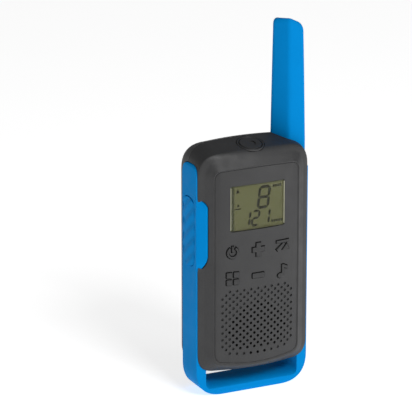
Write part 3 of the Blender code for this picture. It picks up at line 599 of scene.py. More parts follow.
# %% Tree helpers
def new_tree(name, inputs):
    """A geometry tree with a geometry input and the named inputs, and its input node."""
    tree = bpy.data.node_groups.new(name, "GeometryNodeTree")
    tree.interface.new_socket("Geometry", in_out="INPUT", socket_type="NodeSocketGeometry")
    for label, kind in inputs.items():
        tree.interface.new_socket(label, in_out="INPUT", socket_type="NodeSocket" + kind)
    tree.interface.new_socket("Geometry", in_out="OUTPUT", socket_type="NodeSocketGeometry")
    return tree, tree.nodes.new("NodeGroupInput").outputs


def end_tree(tree, geometry, material):
    """Every tree ends by making its instances real and giving them their material."""
    real = node(tree, "GeometryNodeRealizeInstances", {}, {"Geometry": geometry})
    painted = node(tree, "GeometryNodeSetMaterial", {}, {"Geometry": real.outputs[0], "Material": material})
    node(tree, "NodeGroupOutput", {}, {"Geometry": painted.outputs[0]})


def run_tree(piece, tree, values):
    """Run a tree on a piece, with its inputs set by identifier, and keep a plain mesh."""
    change = piece.modifiers.new(tree.name, "NODES")
    change.node_group = tree
    sockets = {item.name: item.identifier for item in tree.interface.items_tree
               if item.in_out == "INPUT" and item.name in values}
    for label, value in values.items():
        change[sockets[label]] = value
    return bake(piece)


def point_place(tree):
    """The three coordinates of the point that a field is worked out for."""
    place = node(tree, "GeometryNodeInputPosition", {}, {})
    return node(tree, "ShaderNodeSeparateXYZ", {}, {"Vector": place.outputs[0]}).outputs


def seat_points(name, points):
    """A mesh of loose points, in millimetres, for a tree to put things on."""
    mesh = bpy.data.meshes.new(name)
    mesh.from_pydata([tuple(Vector(point) * MM) for point in points], [], [])
    return add_object(name, mesh)


# %% [markdown]
# ## Front housing
# The front half of the casing is a deep tray. Its shell runs through six sections, from
# the narrow rim round the panel to the full width at the seam, and a smooth curve through
# their numbers gives sections between them, so the flanks turn without facets.

# %% Sections of the shell
# depth, then half width, foot, head, sag of foot and head, setback of the lower and upper corners
FRONT_SECTIONS = [
    (FRONT_Y, 22.2, 15.5, 113.1, 2.6, 0.9, 5.3, 4.3),
    (-13.6, 22.8, 14.8, 113.9, 2.5, 0.9, 5.6, 5.2),
    (BOW_FULL_Y, 25.6, 13.4, 117.2, 2.6, 1.2, 7.0, 8.5),
    (-10.0, 28.0, 12.4, 119.8, 2.5, 1.4, 8.5, 10.5),
    (BOW_END_Y, HALF_WIDTH, 11.6, 120.85, 2.0, 1.6, 9.0, 11.5),
    (SEAM_Y - GAP / 2, HALF_WIDTH, BOTTOM_Z, 123.25, 1.8, 1.8, 9.0, 11.5),
]
REAR_SECTIONS = [
    (SEAM_Y + GAP / 2, HALF_WIDTH, BOTTOM_Z, 123.25, 1.8, 1.8, 9.0, 11.5),
    (9.0, HALF_WIDTH, BOTTOM_Z, 121.5, 1.8, 1.9, 9.0, 11.5),
    (12.2, 27.4, 12.2, 119.8, 1.8, 1.9, 8.5, 10.5),
    (14.0, 25.6, 14.6, 117.2, 1.8, 1.9, 7.5, 7.5),
]


def smooth_sections(sections, steps):
    """More sections, on a Catmull-Rom curve through the given ones."""
    padded = [sections[0]] + sections + [sections[-1]]
    result = []
    for k in range(len(sections) - 1):
        for step in range(steps):
            t = step / steps
            result.append(tuple(0.5 * (2 * b + (c - a) * t + (2 * a - 5 * b + 4 * c - d) * t * t
                                       + (3 * b - a - 3 * c + d) * t ** 3)
                                for a, b, c, d in zip(*padded[k:k + 4])))
    return result + [sections[-1]]


def shell(name, sections, steps=1):
    smooth = smooth_sections(sections, steps) if steps > 1 else sections
    return loft(name, [[(x, row[0], z) for x, z in shield(*row[1:])] for row in smooth])


def panel_outline(grow=0.0):
    low_z = 16.3
    return grown(shield(PANEL_X, low_z, panel_high.z, 2.6, 0.9, 5.0, 4.0), grow)


def band_space(name, low, high, grow=0.0):
    """The U that the blue band fills: a plate less the casing's own section."""
    corners = [(-35, -5), (35, -5), (35, 121), (0, 121), (0, 114.0 + grow), (-35, 114.0 + grow)]
    core = prism(name + "_core", shield(SEAT_X, BOTTOM_Z, 140, 1.6, 1.0, 8.0, 5.0), low - 1, high + 1)
    return cut(prism(name, corners, low, high), core, band_end(name + "_end", grow))


def band_end(name, grow):
    """What is left over above the rounded upper end of the band's left side."""
    tongue = prism(name + "_tongue", pad((BOW_END_Y, 60, 7.8, 114.0), 6.5, grow, 12), -37, -23, "X")
    return cut(box(name, (-36, -12, 106.5), (-24, 14, 117)), tongue)


# %% [markdown]
# ### Openings of the front
# The panel's seat has a narrow chamfer at its mouth, which shows as the fine line round
# the panel. Behind it are the window, the speaker's hole, and a way for each key, and the
# blue wing by the talk button sits in a pocket of its own. The antenna's foot stands in a
# notch that both halves share, so one function makes it for both.

# %% Keys' places
KEY_Y = reach("plus_key")[0].y
KEYS = ["power_key", "plus_key", "scan_key", "menu_key", "minus_key", "call_key"]


def key_middle(name):
    low, high = reach(name)
    return (low.x + high.x) / 2, (low.z + high.z) / 2


def key_box(name, lip=0.9):
    """The key's cap, from the box of its node, which its flange widens by a lip."""
    low, high = reach(name)
    return low.x + lip, low.z + lip, high.x - lip, high.z - lip


WINDOW = (-14.1, 82.1, 14.1, 104.3)
FILM_LAP = 0.9
SPEAKER_Z = 32.6
CASE_SCREWS = [(-21.2, 77.2), (21.2, 77.2), (-21.2, 112.5), (12.8, 112.5)]
WING_FOOT_Z, WING_LOW_Z, WING_HIGH_Z, WING_HEAD_Z = 63.4, 71.0, 94.0, 98.8
print("keys at", [tuple(round(value, 1) for value in key_middle(name)) for name in KEYS])

# %% Wing by the talk button, and the antenna's notch
def wing(name, grow):
    """The blue wing: it laps over the chamfer, and its ends run out on a round curve."""
    def section(z, share):
        front = -7.2 - grow - 3.6 * share
        inner = -27.4 + grow + 2.4 * share
        return [(-BAND_X - 0.1, -6.0, z), (-BAND_X - 0.1, -7.3 - grow, z), (inner - 0.35, front - 0.1, z),
                (inner, front + 0.1, z), (inner + 0.9, front + 1.0, z), (-26.2 + grow, -6.0, z)]

    def rounded_share(part):
        return math.sin(part * math.pi / 2) ** 0.9

    steps = [k / 12 for k in range(13)]
    rings = [section(WING_FOOT_Z - grow + (WING_LOW_Z - WING_FOOT_Z) * part, rounded_share(part))
             for part in steps]
    rings += [section(WING_HEAD_Z + grow - (WING_HEAD_Z - WING_HIGH_Z) * part, rounded_share(part))
              for part in reversed(steps)]
    return loft(name, rings)


ANTENNA_SIDES = [(20.2, -4.6), (28.4, -6.2), (28.8, 6.5), (26.0, 10.2), (17.6, 9.4), (14.4, 3.0)]
ANTENNA_PLAN = eased(ANTENNA_SIDES, 1.5, 6)


def antenna_notch(name):
    """The notch for the sleeve's foot: it ends below in a slope, and follows the sleeve's plan."""
    corners = [(13.0, 140), (13.0, 121.6), (28.0, 109.2), (28.9, 107.9), (40, 107.9), (40, 140)]
    slope = prism(name, eased(corners, [0, 0.6, 1.2, 0.4, 0, 0], 4), -6.6, 20.0)
    return carve(slope, "INTERSECT", [prism(name + "_plan", grown(ANTENNA_PLAN, GAP), 100, 141, "Z")])


# %% Front housing
def make_front_housing():
    piece = shell("front_shell", FRONT_SECTIONS, 5)
    cut(piece, shell("front_cavity", [
        (-11.2, 20.6, 18.0, 111.0, 2.6, 0.9, 5.0, 4.0),
        (-9.4, INSIDE_X, 13.4, 116.6, 2.0, 1.2, 7.0, 7.0),
        (6.0, INSIDE_X, 12.9, 121.05, 1.6, 1.5, 6.5, 8.0),
    ]))
    mouth = [(-15.0, 1.8), (FRONT_Y, 0.62), (-13.7, SEAM), (SEAT_Y, SEAM)]
    recess = loft("panel_seat", [[(x, y, z) for x, z in panel_outline(grow)] for y, grow in mouth])
    tools = [recess, band_space("front_band_space", BOW_END_Y - GAP, 10, GAP)]
    tools.append(prism("window_opening", pad(WINDOW, 1.0, FILM_LAP + 0.1), -16, -9))
    tools.append(turned("speaker_opening", [(14.6, 0), (14.6, 6)], (0, -15, SPEAKER_Z), (0, 1, 0), 40))
    tools += [prism(name + "_way", pad(key_box(name), 1.2, GAP, 4), -16, -9) for name in KEYS]
    cut(piece, *tools)
    for k, (x, z) in enumerate(CASE_SCREWS):
        join(piece, turned(f"boss_{k}", [(2.4, 0), (2.4, 13.9)], (x, -11.8, z), (0, 1, 0), 24))
        cut(piece, turned(f"boss_hole_{k}", [(1.2, 0), (1.2, 12)], (x, -6.0, z), (0, 1, 0), 20))
    cut(piece, box("talk_way", (-27, -4.6, 80.9), (-23.5, 1.9, 90.1)),
        box("port_way", (23.5, -6.0, 79.8), (27, 0.8, 95.8)), antenna_notch("front_notch"))
    for name, radius, down, length in (("button_way", 5.65, 6.0, 10), ("bezel_seat", 6.75, 0.9, 4),
                                       ("flange_way", 6.65, 9.4, 7)):
        cut(piece, turned(name, [(radius, 0), (radius, length)], TOP_BUTTON - TOP_WAY * down, TOP_WAY, 64))
    bow_front(piece, -HALF_WIDTH, HALF_WIDTH)
    cut(piece, wing("wing_pocket", GAP))
    return finish(piece, "front_shell", charcoal, "casing", ["front_housing"])


make_front_housing()

# %% [markdown]
# ## Front panel
# The inset panel is the face of the radio, and its grille follows a rule: holes on a
# quincunx, 21 columns by 18 rows, with the top corners left out and one more row that
# follows the arched foot. Holes go through only where the speaker is behind them, and the
# others are shallow dimples. Drilling two hundred holes by hand would be tedious and
# uneven, so a geometry tree makes the grid, drills it, and bows the panel at the end.

# %% Grille rule
GRILLE_DX = 1.80
GRILLE_DZ = 1.69
GRILLE_TOP_Z = 52.9
GRILLE_COLUMNS = 21
GRILLE_ROWS = 18
HOLE_R = 0.7
DRILL_LENGTH = 6.0
DIMPLE_DEPTH = 0.85
FOOT_ROW_Z = 21.0
FOOT_ROW_SAG = 5.6
OPEN_REACH = 8.0
OPEN_ROW = 12.0


def grille_tree():
    tree, given = new_tree("front_panel_rule", {
        "Pitch Across": "Float", "Pitch Up": "Float", "Columns": "Int", "Rows": "Int", "Top": "Float",
        "Face": "Float", "Hole Radius": "Float", "Dimple Depth": "Float", "Open Reach": "Float",
        "Open Row": "Float", "Foot Row": "Float", "Foot Sag": "Float", "Openings": "Object",
        "Bow Radius": "Float", "Material": "Material"})
    wide = maths(tree, "MULTIPLY", maths(tree, "SUBTRACT", given["Columns"], 1.0), given["Pitch Across"])
    tall = maths(tree, "MULTIPLY", maths(tree, "SUBTRACT", given["Rows"], 1.0), given["Pitch Up"])
    grid = node(tree, "GeometryNodeMeshGrid", {}, {
        "Size X": wide, "Size Y": tall, "Vertices X": given["Columns"], "Vertices Y": given["Rows"]})
    middle = maths(tree, "SUBTRACT", given["Top"], maths(tree, "MULTIPLY", tall, 0.5))
    place = node(tree, "ShaderNodeCombineXYZ", {}, {"Y": given["Face"], "Z": middle})
    upright = node(tree, "GeometryNodeTransform", {}, {
        "Geometry": grid.outputs[0], "Translation": place.outputs[0], "Rotation": (math.pi / 2, 0, 0)})
    at = point_place(tree)
    column = maths(tree, "ROUND", maths(tree, "DIVIDE", at["X"], given["Pitch Across"]))
    row = maths(tree, "ROUND", maths(tree, "DIVIDE", maths(tree, "SUBTRACT", given["Top"], at["Z"]),
                                     given["Pitch Up"]))
    reach_out = maths(tree, "ABSOLUTE", column)
    odd = maths(tree, "PINGPONG", maths(tree, "ADD", row, reach_out), 1.0)
    beyond = maths(tree, "GREATER_THAN", reach_out, maths(tree, "ADD", row, 8.5))
    drop = maths(tree, "GREATER_THAN", maths(tree, "ADD", odd, beyond), 0.5)
    kept = node(tree, "GeometryNodeDeleteGeometry", {"domain": "POINT"}, {"Geometry": upright.outputs[0],
                                                                          "Selection": drop})
    foot = foot_row(tree, given, at)
    points = node(tree, "GeometryNodeJoinGeometry", {}, {"Geometry": kept.outputs[0]})
    tree.links.new(foot, points.inputs[0])
    down = maths(tree, "SUBTRACT", row, given["Open Row"])
    far = maths(tree, "SQRT", maths(tree, "ADD", maths(tree, "MULTIPLY", column, column),
                                    maths(tree, "MULTIPLY", down, down)))
    dimpled = maths(tree, "GREATER_THAN", far, given["Open Reach"])
    through = maths(tree, "SUBTRACT", 1.0, dimpled)
    drills = [drilled(tree, points.outputs[0], through, given["Hole Radius"], DRILL_LENGTH * MM),
              drilled(tree, points.outputs[0], dimpled, given["Hole Radius"],
                      maths(tree, "MULTIPLY", given["Dimple Depth"], 2.0))]
    openings = node(tree, "GeometryNodeObjectInfo", {}, {"Object": given["Openings"]}).outputs["Geometry"]
    pierced = node(tree, "GeometryNodeMeshBoolean", {"operation": "DIFFERENCE", "solver": "EXACT"},
                   {"Mesh 1": given["Geometry"]})
    for tool in drills + [openings]:
        tree.links.new(tool, pierced.inputs["Mesh 2"])
    squared = maths(tree, "MULTIPLY", at["X"], at["X"])
    back = maths(tree, "DIVIDE", squared, maths(tree, "MULTIPLY", given["Bow Radius"], 2.0))
    offset = node(tree, "ShaderNodeCombineXYZ", {}, {"Y": back})
    bowed = node(tree, "GeometryNodeSetPosition", {}, {
        "Geometry": pierced.outputs[0], "Offset": offset.outputs[0]})
    end_tree(tree, bowed.outputs[0], given["Material"])
    return tree


def foot_row(tree, given, at):
    """Nine more points below the grid, two columns apart, on the foot's arch."""
    pitch = maths(tree, "MULTIPLY", given["Pitch Across"], 2.0)
    start = node(tree, "ShaderNodeCombineXYZ", {}, {
        "X": maths(tree, "MULTIPLY", pitch, -4.0), "Y": given["Face"], "Z": given["Foot Row"]})
    step = node(tree, "ShaderNodeCombineXYZ", {}, {"X": pitch})
    line = node(tree, "GeometryNodeMeshLine", {}, {"Count": 9, "Start Location": start.outputs[0],
                                                   "Offset": step.outputs[0]})
    lift = maths(tree, "MULTIPLY", maths(tree, "MULTIPLY", at["X"], at["X"]), given["Foot Sag"])
    offset = node(tree, "ShaderNodeCombineXYZ", {}, {"Z": lift})
    return node(tree, "GeometryNodeSetPosition", {}, {"Geometry": line.outputs[0],
                                                      "Offset": offset.outputs[0]}).outputs[0]


def drilled(tree, points, which, radius, length):
    """Twelve-sided drills through the chosen points, as real geometry."""
    drill = node(tree, "GeometryNodeMeshCylinder", {}, {"Vertices": 12, "Radius": radius, "Depth": length})
    placed = node(tree, "GeometryNodeInstanceOnPoints", {}, {
        "Points": points, "Selection": which, "Instance": drill.outputs["Mesh"],
        "Rotation": (math.pi / 2, 0, 0)})
    return node(tree, "GeometryNodeRealizeInstances", {}, {"Geometry": placed.outputs[0]}).outputs[0]


# %% [markdown]
# ### Key symbols
# Each key shows only its symbol: a ring with a bar for power, a plus and a minus, a bent
# arrow, four squares and a note. The symbols are the caps themselves, standing a little
# proud of the panel with a fine gap round them, so one outline makes the cap and, grown
# by the gap, its hole.

# %% Symbols
KEY_GAP = 0.38
KEY_LEAN = (-0.07, 0.07)
STROKE = 0.95


def stroke(start, end, width=STROKE):
    """A straight bar of a given width between two points, square at both ends."""
    start = Vector(start)
    end = Vector(end)
    along = (end - start).normalized()
    side = Vector((-along.y, along.x)) * width / 2
    return [tuple(start - side), tuple(end - side), tuple(end + side), tuple(start + side)]


def power_symbol():
    ring = arc((0, 0), 2.95, 122, 418, 40) + list(reversed(arc((0, 0), 1.95, 122, 418, 40)))
    return [ring, stroke((0, 0.2), (0, 3.1), 0.9)]


def plus_symbol():
    return [[(-1.15, -3.3), (1.15, -3.3), (1.15, -1.15), (3.1, -1.15), (3.1, 1.15), (1.15, 1.15), (1.15, 3.3),
             (-1.15, 3.3), (-1.15, 1.15), (-3.1, 1.15), (-3.1, -1.15), (-1.15, -1.15)]]


def scan_symbol():
    return [stroke((-3.4, 2.0), (3.3, 2.0), 1.1), stroke((-3.1, -2.1), (0.9, 1.0), 1.2),
            [(-0.3, -2.2), (3.5, -2.2), (2.3, 0.6)]]


def menu_symbol():
    size = 2.55
    corners = [(-3.05, -3.1), (0.5, -3.1), (-3.05, 0.5), (0.5, 0.5)]
    return [pad((x, z, x + size, z + size), 0.3, 0, 3) for x, z in corners]


def minus_symbol():
    return [pad((-3.05, -1.2, 3.05, 1.2), 0.3, 0, 3)]


def call_symbol():
    stem = [(-0.35, -1.6), (0.75, -1.6), (0.75, 1.7), (2.6, 0.9), (2.6, 2.2), (0.75, 3.25), (-0.35, 3.25)]
    head = [(-1.05 + 1.6 * math.cos(t), -2.0 + 1.2 * math.sin(t))
            for t in [2 * math.pi * k / 24 for k in range(24)]]
    return [stem, head]


SYMBOLS = {"power_key": power_symbol(), "plus_key": plus_symbol(), "scan_key": scan_symbol(),
           "menu_key": menu_symbol(), "minus_key": minus_symbol(), "call_key": call_symbol()}


def moved(outline, name):
    x, z = key_middle(name)
    return [(a + x, b + z) for a, b in outline]


print("symbols:", {name: len(outlines) for name, outlines in SYMBOLS.items()})

# %% Panel
def make_panel():
    levels = [(-13.82, -0.1), (-13.78, -0.03), (-13.7, 0.0), (PANEL_BACK_Y, 0.0)]
    blank = loft("front_panel_blank", [[(x, y, z) for x, z in panel_outline(grow)] for y, grow in levels])
    shape = bmesh.new()
    shape.from_mesh(blank.data)
    strips = 48
    for k in range(1, strips):
        at = (-PANEL_X + 2 * PANEL_X * k / strips + 0.007) * MM
        everything = shape.verts[:] + shape.edges[:] + shape.faces[:]
        bmesh.ops.bisect_plane(shape, geom=everything, plane_co=(at, 0, 0), plane_no=(1, 0, 0))
    shape.to_mesh(blank.data)
    shape.free()
    mouth = [(-15.0, 0.1), (-13.82, 0.1), (-13.72, 0.0), (-11.0, 0.0)]
    openings = loft("window_mouth", [[(x, y, z) for x, z in pad(WINDOW, 1.0, grow)] for y, grow in mouth])
    for name in KEYS:
        for k, outline in enumerate(SYMBOLS[name]):
            around = [(a + KEY_LEAN[0], b + KEY_LEAN[1]) for a, b in grown(moved(outline, name), KEY_GAP)]
            hole = prism(f"{name}_hole_{k}", around, -16, -11)
            join(openings, hole)
    run_tree(blank, grille_tree(), {
        "Pitch Across": GRILLE_DX * MM, "Pitch Up": GRILLE_DZ * MM, "Columns": GRILLE_COLUMNS,
        "Rows": GRILLE_ROWS, "Top": GRILLE_TOP_Z * MM, "Face": FRONT_Y * MM, "Hole Radius": HOLE_R * MM,
        "Dimple Depth": DIMPLE_DEPTH * MM, "Open Reach": OPEN_REACH, "Open Row": OPEN_ROW,
        "Foot Row": FOOT_ROW_Z * MM, "Foot Sag": FOOT_ROW_SAG,
        "Openings": openings, "Bow Radius": BOW_RADIUS * MM, "Material": panel_finish})
    bpy.data.objects.remove(openings, do_unlink=True)
    return finish(blank, "panel", panel_finish, "casing", ["front_panel"])


make_panel()

# %% Keys
def make_key(name):
    """The symbol's caps on one flange, which the housing's wall holds in."""
    caps = [prism(f"{name}_cap_{k}", moved(outline, name), KEY_Y, -10.6, ease=0.1)
            for k, outline in enumerate(SYMBOLS[name])]
    key = caps[0]
    join(key, *caps[1:], prism(name + "_foot", pad(key_box(name, 0.0), 1.2, 0, 4), -10.9, -10.2))
    low_x, low_z, high_x, high_z = key_box(name, 0.0)
    bow_front(key, low_x, high_x, 0.8)
    finish(key, name.replace("key", "button"), key_finish, name, [name])


for name in KEYS:
    make_key(name)

# %% [markdown]
# ## Display
# Behind a clear pane lies a reflective display. The pane is bowed with the panel, and the
# two bright lines at its sides are pale strips, painted highlights of its polished edges. The
# figures are seven-segment ones: every figure is the same seven bars, of which some are on,
# all leaning to the right.

# %% Window
FILM_Y = -12.3


def make_window():
    low_x, low_z, high_x, high_z = WINDOW
    inside = (low_x + GAP, low_z + GAP, high_x - GAP, high_z - GAP)
    pane = prism("pane", pad(inside, 0.9, 0.16), -13.7, -13.2, ease=0.1)
    bow_front(pane, -13.8, 13.8)
    finish(pane, "window_pane", window, "casing", ["display_window"])
    # Painted highlights: pale strips along the pane's left and right edges.
    edges = prism("edge_left", pad((-14.02, 82.9, -13.7, 103.5), 0.1, 0, 2), -13.76, -13.1, ease=0.06)
    join(edges, prism("edge_right", pad((13.6, 82.9, 13.98, 103.5), 0.1, 0, 2), -13.76, -13.1, ease=0.06))
    bow_front(edges, -14.05, 14.0, 2.0)
    finish(edges, "window_edges", edge_highlight_finish, "casing")
    film = prism("film", pad(WINDOW, 0.5, FILM_LAP, 3), FILM_Y, -11.9)
    finish(film, "display_film", lcd, "casing")


make_window()

# %% Figures
SEGMENTS = {"a": ((0, 1), (1, 1)), "b": ((1, 1), (1, 0.5)), "c": ((1, 0.5), (1, 0)), "d": ((0, 0), (1, 0)),
            "e": ((0, 0.5), (0, 0)), "f": ((0, 1), (0, 0.5)), "g": ((0, 0.5), (1, 0.5))}
FIGURES = {"8": "abcdefg", "2": "abged", "1": "bc"}
LEAN = 0.12
INK_Y = (FILM_Y - 0.05, FILM_Y + 0.05)
# figure, left edge and foot, width, height and bar width
SHOWN = [("8", 0.35, 92.0, 5.1, 9.9, 1.4), ("1", -7.4, 83.9, 3.2, 6.8, 1.15),
         ("2", -2.8, 83.7, 3.3, 6.9, 1.15), ("1", 2.7, 83.9, 3.2, 6.8, 1.15)]


def bar(start, end, width):
    """A bar with pointed ends, as display segments have."""
    start = Vector(start)
    end = Vector(end)
    along = (end - start).normalized()
    side = Vector((-along.y, along.x)) * width / 2
    start = start + along * 0.12
    end = end - along * 0.12
    tip = along * width / 2
    return [start, start + tip - side, end - tip - side, end, end - tip + side, start + tip + side]


def make_figures():
    outlines = []
    for figure, x, z, width, height, thick in SHOWN:
        for segment in FIGURES[figure]:
            ends = [(a * width, b * height) for a, b in SEGMENTS[segment]]
            outlines.append([(x + p.x + p.y * LEAN, z + p.y) for p in bar(*ends, thick)])
    outlines.append([(-11.1, 100.4), (-9.0, 100.4), (-10.0, 102.6)])
    outlines.append([(-10.5, 93.7), (-9.0, 93.7), (-9.7, 95.3)])
    outlines.append(stroke((-11.4, 92.7), (-8.3, 92.7), 0.6))
    outlines += [stroke((8.1 + 1.15 * k, 101.7), (9.0 + 1.15 * k, 101.7), 1.3) for k in range(4)]
    outlines += [stroke((7.5 + 1.2 * k, 84.6), (8.4 + 1.2 * k, 84.6), 1.3) for k in range(5)]
    bars = [prism(f"bar_{k}", outline, *INK_Y) for k, outline in enumerate(outlines)]
    shape = bmesh.new()
    for piece in bars:
        shape.from_mesh(piece.data)
        bpy.data.objects.remove(piece, do_unlink=True)
    mesh = bpy.data.meshes.new("figures")
    shape.to_mesh(mesh)
    shape.free()
    finish(add_object("figures", mesh), "display_figures", lcd_ink, "casing")


make_figures()

# %% [markdown]
# ## Blue frame
# A two-shot band of softer plastic runs down both sides and under the casing, where it
# leaves a loop for a strap. It starts as one plate with large round foot corners. The
# casing's section and the loop are cut out of it, and a bevel rounds its edges as the softer
# plastic is moulded. The slots for the talk button and the port cover are cut after that.

# %% Bumper
TALK_SLOT = (-5.4, 64.0, 6.6, 98.0)
PORT_SLOT = (-5.6, 75.0, 5.9, 97.0)
# depth, foot and setback of the lower corners: the rail's front edge is well rounded
LOOP_SECTIONS = [(-20, 3.5, 3.0), (BOW_END_Y, 3.5, 3.0), (-6.9, 4.0, 3.0), (-5.8, 4.5, 3.4),
                 (-4.2, 4.85, 4.0), (-2.0, 5.0, 5.0), (7.8, 5.0, 7.5), (20, 5.0, 7.5)]


def loop_outline(foot, corner):
    corners = [(-24.0, foot), (24.0, foot), (24.0, 13.5), (-24.0, 13.5)]
    return eased(corners, [corner, corner, 1.0, 1.0], 8)


def make_bumper():
    corners = [(-BAND_X, 114.0), (-BAND_X, 0), (BAND_X, 0), (BAND_X, 107.6), (0, 107.6), (0, 114.0)]
    frame_plate = prism("bumper", eased(corners, [1.5, 14, 14, 0.5, 0, 0], 14), BOW_END_Y, 7.8)
    core = prism("core", shield(SEAT_X + GAP, BOTTOM_Z - GAP, 140, 1.6, 1.0, 8.0, 5.0), -20, 20)
    loop = loft("loop", [[(x, y, z) for x, z in loop_outline(foot, corner)]
                         for y, foot, corner in LOOP_SECTIONS])
    cut(frame_plate, core, loop, band_end("band_end", 0.0))
    join(frame_plate, wing("wing", 0.0))
    soften(frame_plate, 0.75, 4, 40)
    cut(frame_plate, prism("talk_slot", pad(TALK_SLOT, 5.6), -32, -24, "X"),
        prism("port_slot", pad(PORT_SLOT, 4.0, GAP), 24, 32, "X"))
    return finish(frame_plate, "blue_frame", blue, "casing", ["bumper_frame"], 40)


make_bumper()

# %% [markdown]
# ## Talk button
# The button under the thumb has broad slanting ripples for grip. The rule is a wave that
# runs up the button and leans across it. A geometry tree lays the wave on one face of a
# finely divided slab, and keeps what the slab and the plain button share.

# %% Ripple tree
def ripple_tree():
    tree, given = new_tree("talk_ripples", {
        "Size": "Vector", "Middle": "Vector", "Pitch": "Float", "Depth": "Float", "Slant": "Float",
        "Material": "Material"})
    slab = node(tree, "GeometryNodeMeshCube", {}, {
        "Size": given["Size"], "Vertices X": 2, "Vertices Y": 30, "Vertices Z": 90})
    at = point_place(tree)
    outer = maths(tree, "LESS_THAN", at["X"], 0.0)
    along = maths(tree, "ADD", at["Z"], maths(tree, "MULTIPLY", at["Y"], given["Slant"]))
    phase = maths(tree, "MULTIPLY", maths(tree, "DIVIDE", along, given["Pitch"]), 2 * math.pi)
    wave = maths(tree, "ADD", maths(tree, "SINE", phase), 1.0)
    dip = maths(tree, "MULTIPLY", maths(tree, "MULTIPLY", wave, 0.5), given["Depth"])
    crown = maths(tree, "MULTIPLY", maths(tree, "MULTIPLY", at["Y"], at["Y"]), 14.0)
    offset = node(tree, "ShaderNodeCombineXYZ", {}, {"X": maths(tree, "ADD", dip, crown)})
    rippled = node(tree, "GeometryNodeSetPosition", {}, {"Geometry": slab.outputs["Mesh"], "Selection": outer,
                                                         "Offset": offset.outputs[0]})
    placed = node(tree, "GeometryNodeTransform", {}, {"Geometry": rippled.outputs[0],
                                                      "Translation": given["Middle"]})
    shared = node(tree, "GeometryNodeMeshBoolean", {"operation": "INTERSECT", "solver": "EXACT"}, {})
    tree.links.new(given["Geometry"], shared.inputs["Mesh 2"])
    tree.links.new(placed.outputs[0], shared.inputs["Mesh 2"])
    end_tree(tree, shared.outputs[0], given["Material"])
    return tree


def make_talk_button():
    low_y, low_z, high_y, high_z = TALK_SLOT
    face_x = reach("talk_button")[0].x
    outline = pad((low_y + GAP, low_z + GAP, high_y - GAP, high_z - GAP), 5.4, 0, 14)
    piece = prism("talk_cap", outline, face_x, -27.0, "X", ease=0.45)
    depth = 5.0
    run_tree(piece, ripple_tree(), {
        "Size": (depth * MM, 14 * MM, 36 * MM),
        "Middle": ((face_x + depth / 2) * MM, (low_y + high_y) / 2 * MM, (low_z + high_z) / 2 * MM),
        "Pitch": 7.2 * MM, "Depth": 0.45 * MM, "Slant": 0.9, "Material": blue})
    join(piece, box("talk_stem", (-27.4, -4.2, 81.3), (-23.5, 1.5, 89.7)),
         box("talk_foot", (-24.1, -4.9, 80.3), (-23.3, 2.1, 90.7)))
    return finish(piece, "talk_bar", blue, "talk_button", ["talk_button"], 40)


make_talk_button()

# %% [markdown]
# ## Antenna
# The aerial is a short winding inside a blunt blue sleeve. The sleeve has six sides with
# soft corners, narrows upwards, and its top slopes back. Its root spreads over the
# casing's shoulder and runs into the blue band. A loft through shrinking copies of one
# plan gives the taper, and three close rings at the top round it over.

# %% Antenna sleeve
def make_antenna():
    mid_x, mid_y = 21.8, 1.5

    def section(z, scale, tilt=0.0):
        points = [(mid_x + (x - mid_x) * scale, mid_y + (y - mid_y) * scale) for x, y in ANTENNA_PLAN]
        fall = 0.3 * tilt
        return [(x, y, z - tilt * (y - FRONT_Y / 2) - fall * max(0.0, x - 19.0) ** 2) for x, y in points]

    rings = [section(119.5, 1.0), section(135.0, 0.965), section(150.0, 0.93), section(163.0, 0.90, 0.08),
             section(174.5, 0.873, 0.19)]
    rings += [section(176.6 + 2.9 * math.sin(t), 0.87 - 0.2 * (1 - math.cos(t)), 0.2)
              for t in [math.pi / 2 * k / 7 for k in range(8)]]
    sleeve = loft("sleeve", rings)
    corners = [(13.4, 121.6), (28.3, 109.6), (BAND_X, 108.4), (BAND_X, 116.5), (28.6, 121.2), (27.4, 122.4),
               (14.4, 122.4)]
    root = prism("root", eased(corners, [0.4, 1.0, 0.4, 2.0, 0.6, 0.6, 0.4], 5), -6.2, 9.2)
    carve(root, "INTERSECT", [prism("root_plan", ANTENNA_PLAN, 100, 121.5, "Z")])
    join(sleeve, root)
    soften(sleeve, 0.5, 3, 38)
    cut(sleeve, turned("bore", [(3.6, 0), (3.6, 66)], (ANTENNA_X, ANTENNA_Y, 105), (0, 0, 1), 32))
    return finish(sleeve, "antenna_cover", blue, "casing", ["antenna_sleeve"], 40)


make_antenna()

# %% [markdown]
# ## Coils
# Springs and the aerial's winding are all one rule: a wire that climbs as it turns. The
# tree sweeps a round section along a spiral whose radius may narrow, and each use gives
# it a radius, a wire, a height and a number of turns. A copy is then stood in its place.

# %% Coil tree
def coil_tree():
    tree, given = new_tree("coil", {
        "Radius": "Float", "End Radius": "Float", "Wire": "Float", "Height": "Float",
        "Turns": "Float", "Material": "Material"})
    path = node(tree, "GeometryNodeCurveSpiral", {}, {
        "Resolution": 28, "Rotations": given["Turns"], "Start Radius": given["Radius"],
        "End Radius": given["End Radius"], "Height": given["Height"]})
    round_wire = node(tree, "GeometryNodeCurvePrimitiveCircle", {}, {
        "Resolution": 10, "Radius": given["Wire"]})
    swept = node(tree, "GeometryNodeCurveToMesh", {}, {
        "Curve": path.outputs[0], "Profile Curve": round_wire.outputs[0], "Fill Caps": True})
    end_tree(tree, swept.outputs[0], given["Material"])
    return tree


wire_tree = coil_tree()


def coil(name, material, radius, end_radius, wire, height, turns, at, way):
    piece = seat_points(name, [(0, 0, 0)])
    run_tree(piece, wire_tree, {"Radius": radius * MM, "End Radius": end_radius * MM, "Wire": wire * MM,
                                "Height": height * MM, "Turns": float(turns), "Material": material})
    turn = Vector(way).to_track_quat("Z", "Y").to_matrix().to_4x4()
    shape = bmesh.new()
    shape.from_mesh(piece.data)
    bmesh.ops.remove_doubles(shape, verts=shape.verts, dist=0.00001)
    shape.transform(Matrix.Translation(Vector(at) * MM) @ turn)
    face_outwards(shape)
    shape.to_mesh(piece.data)
    shape.free()
    return piece


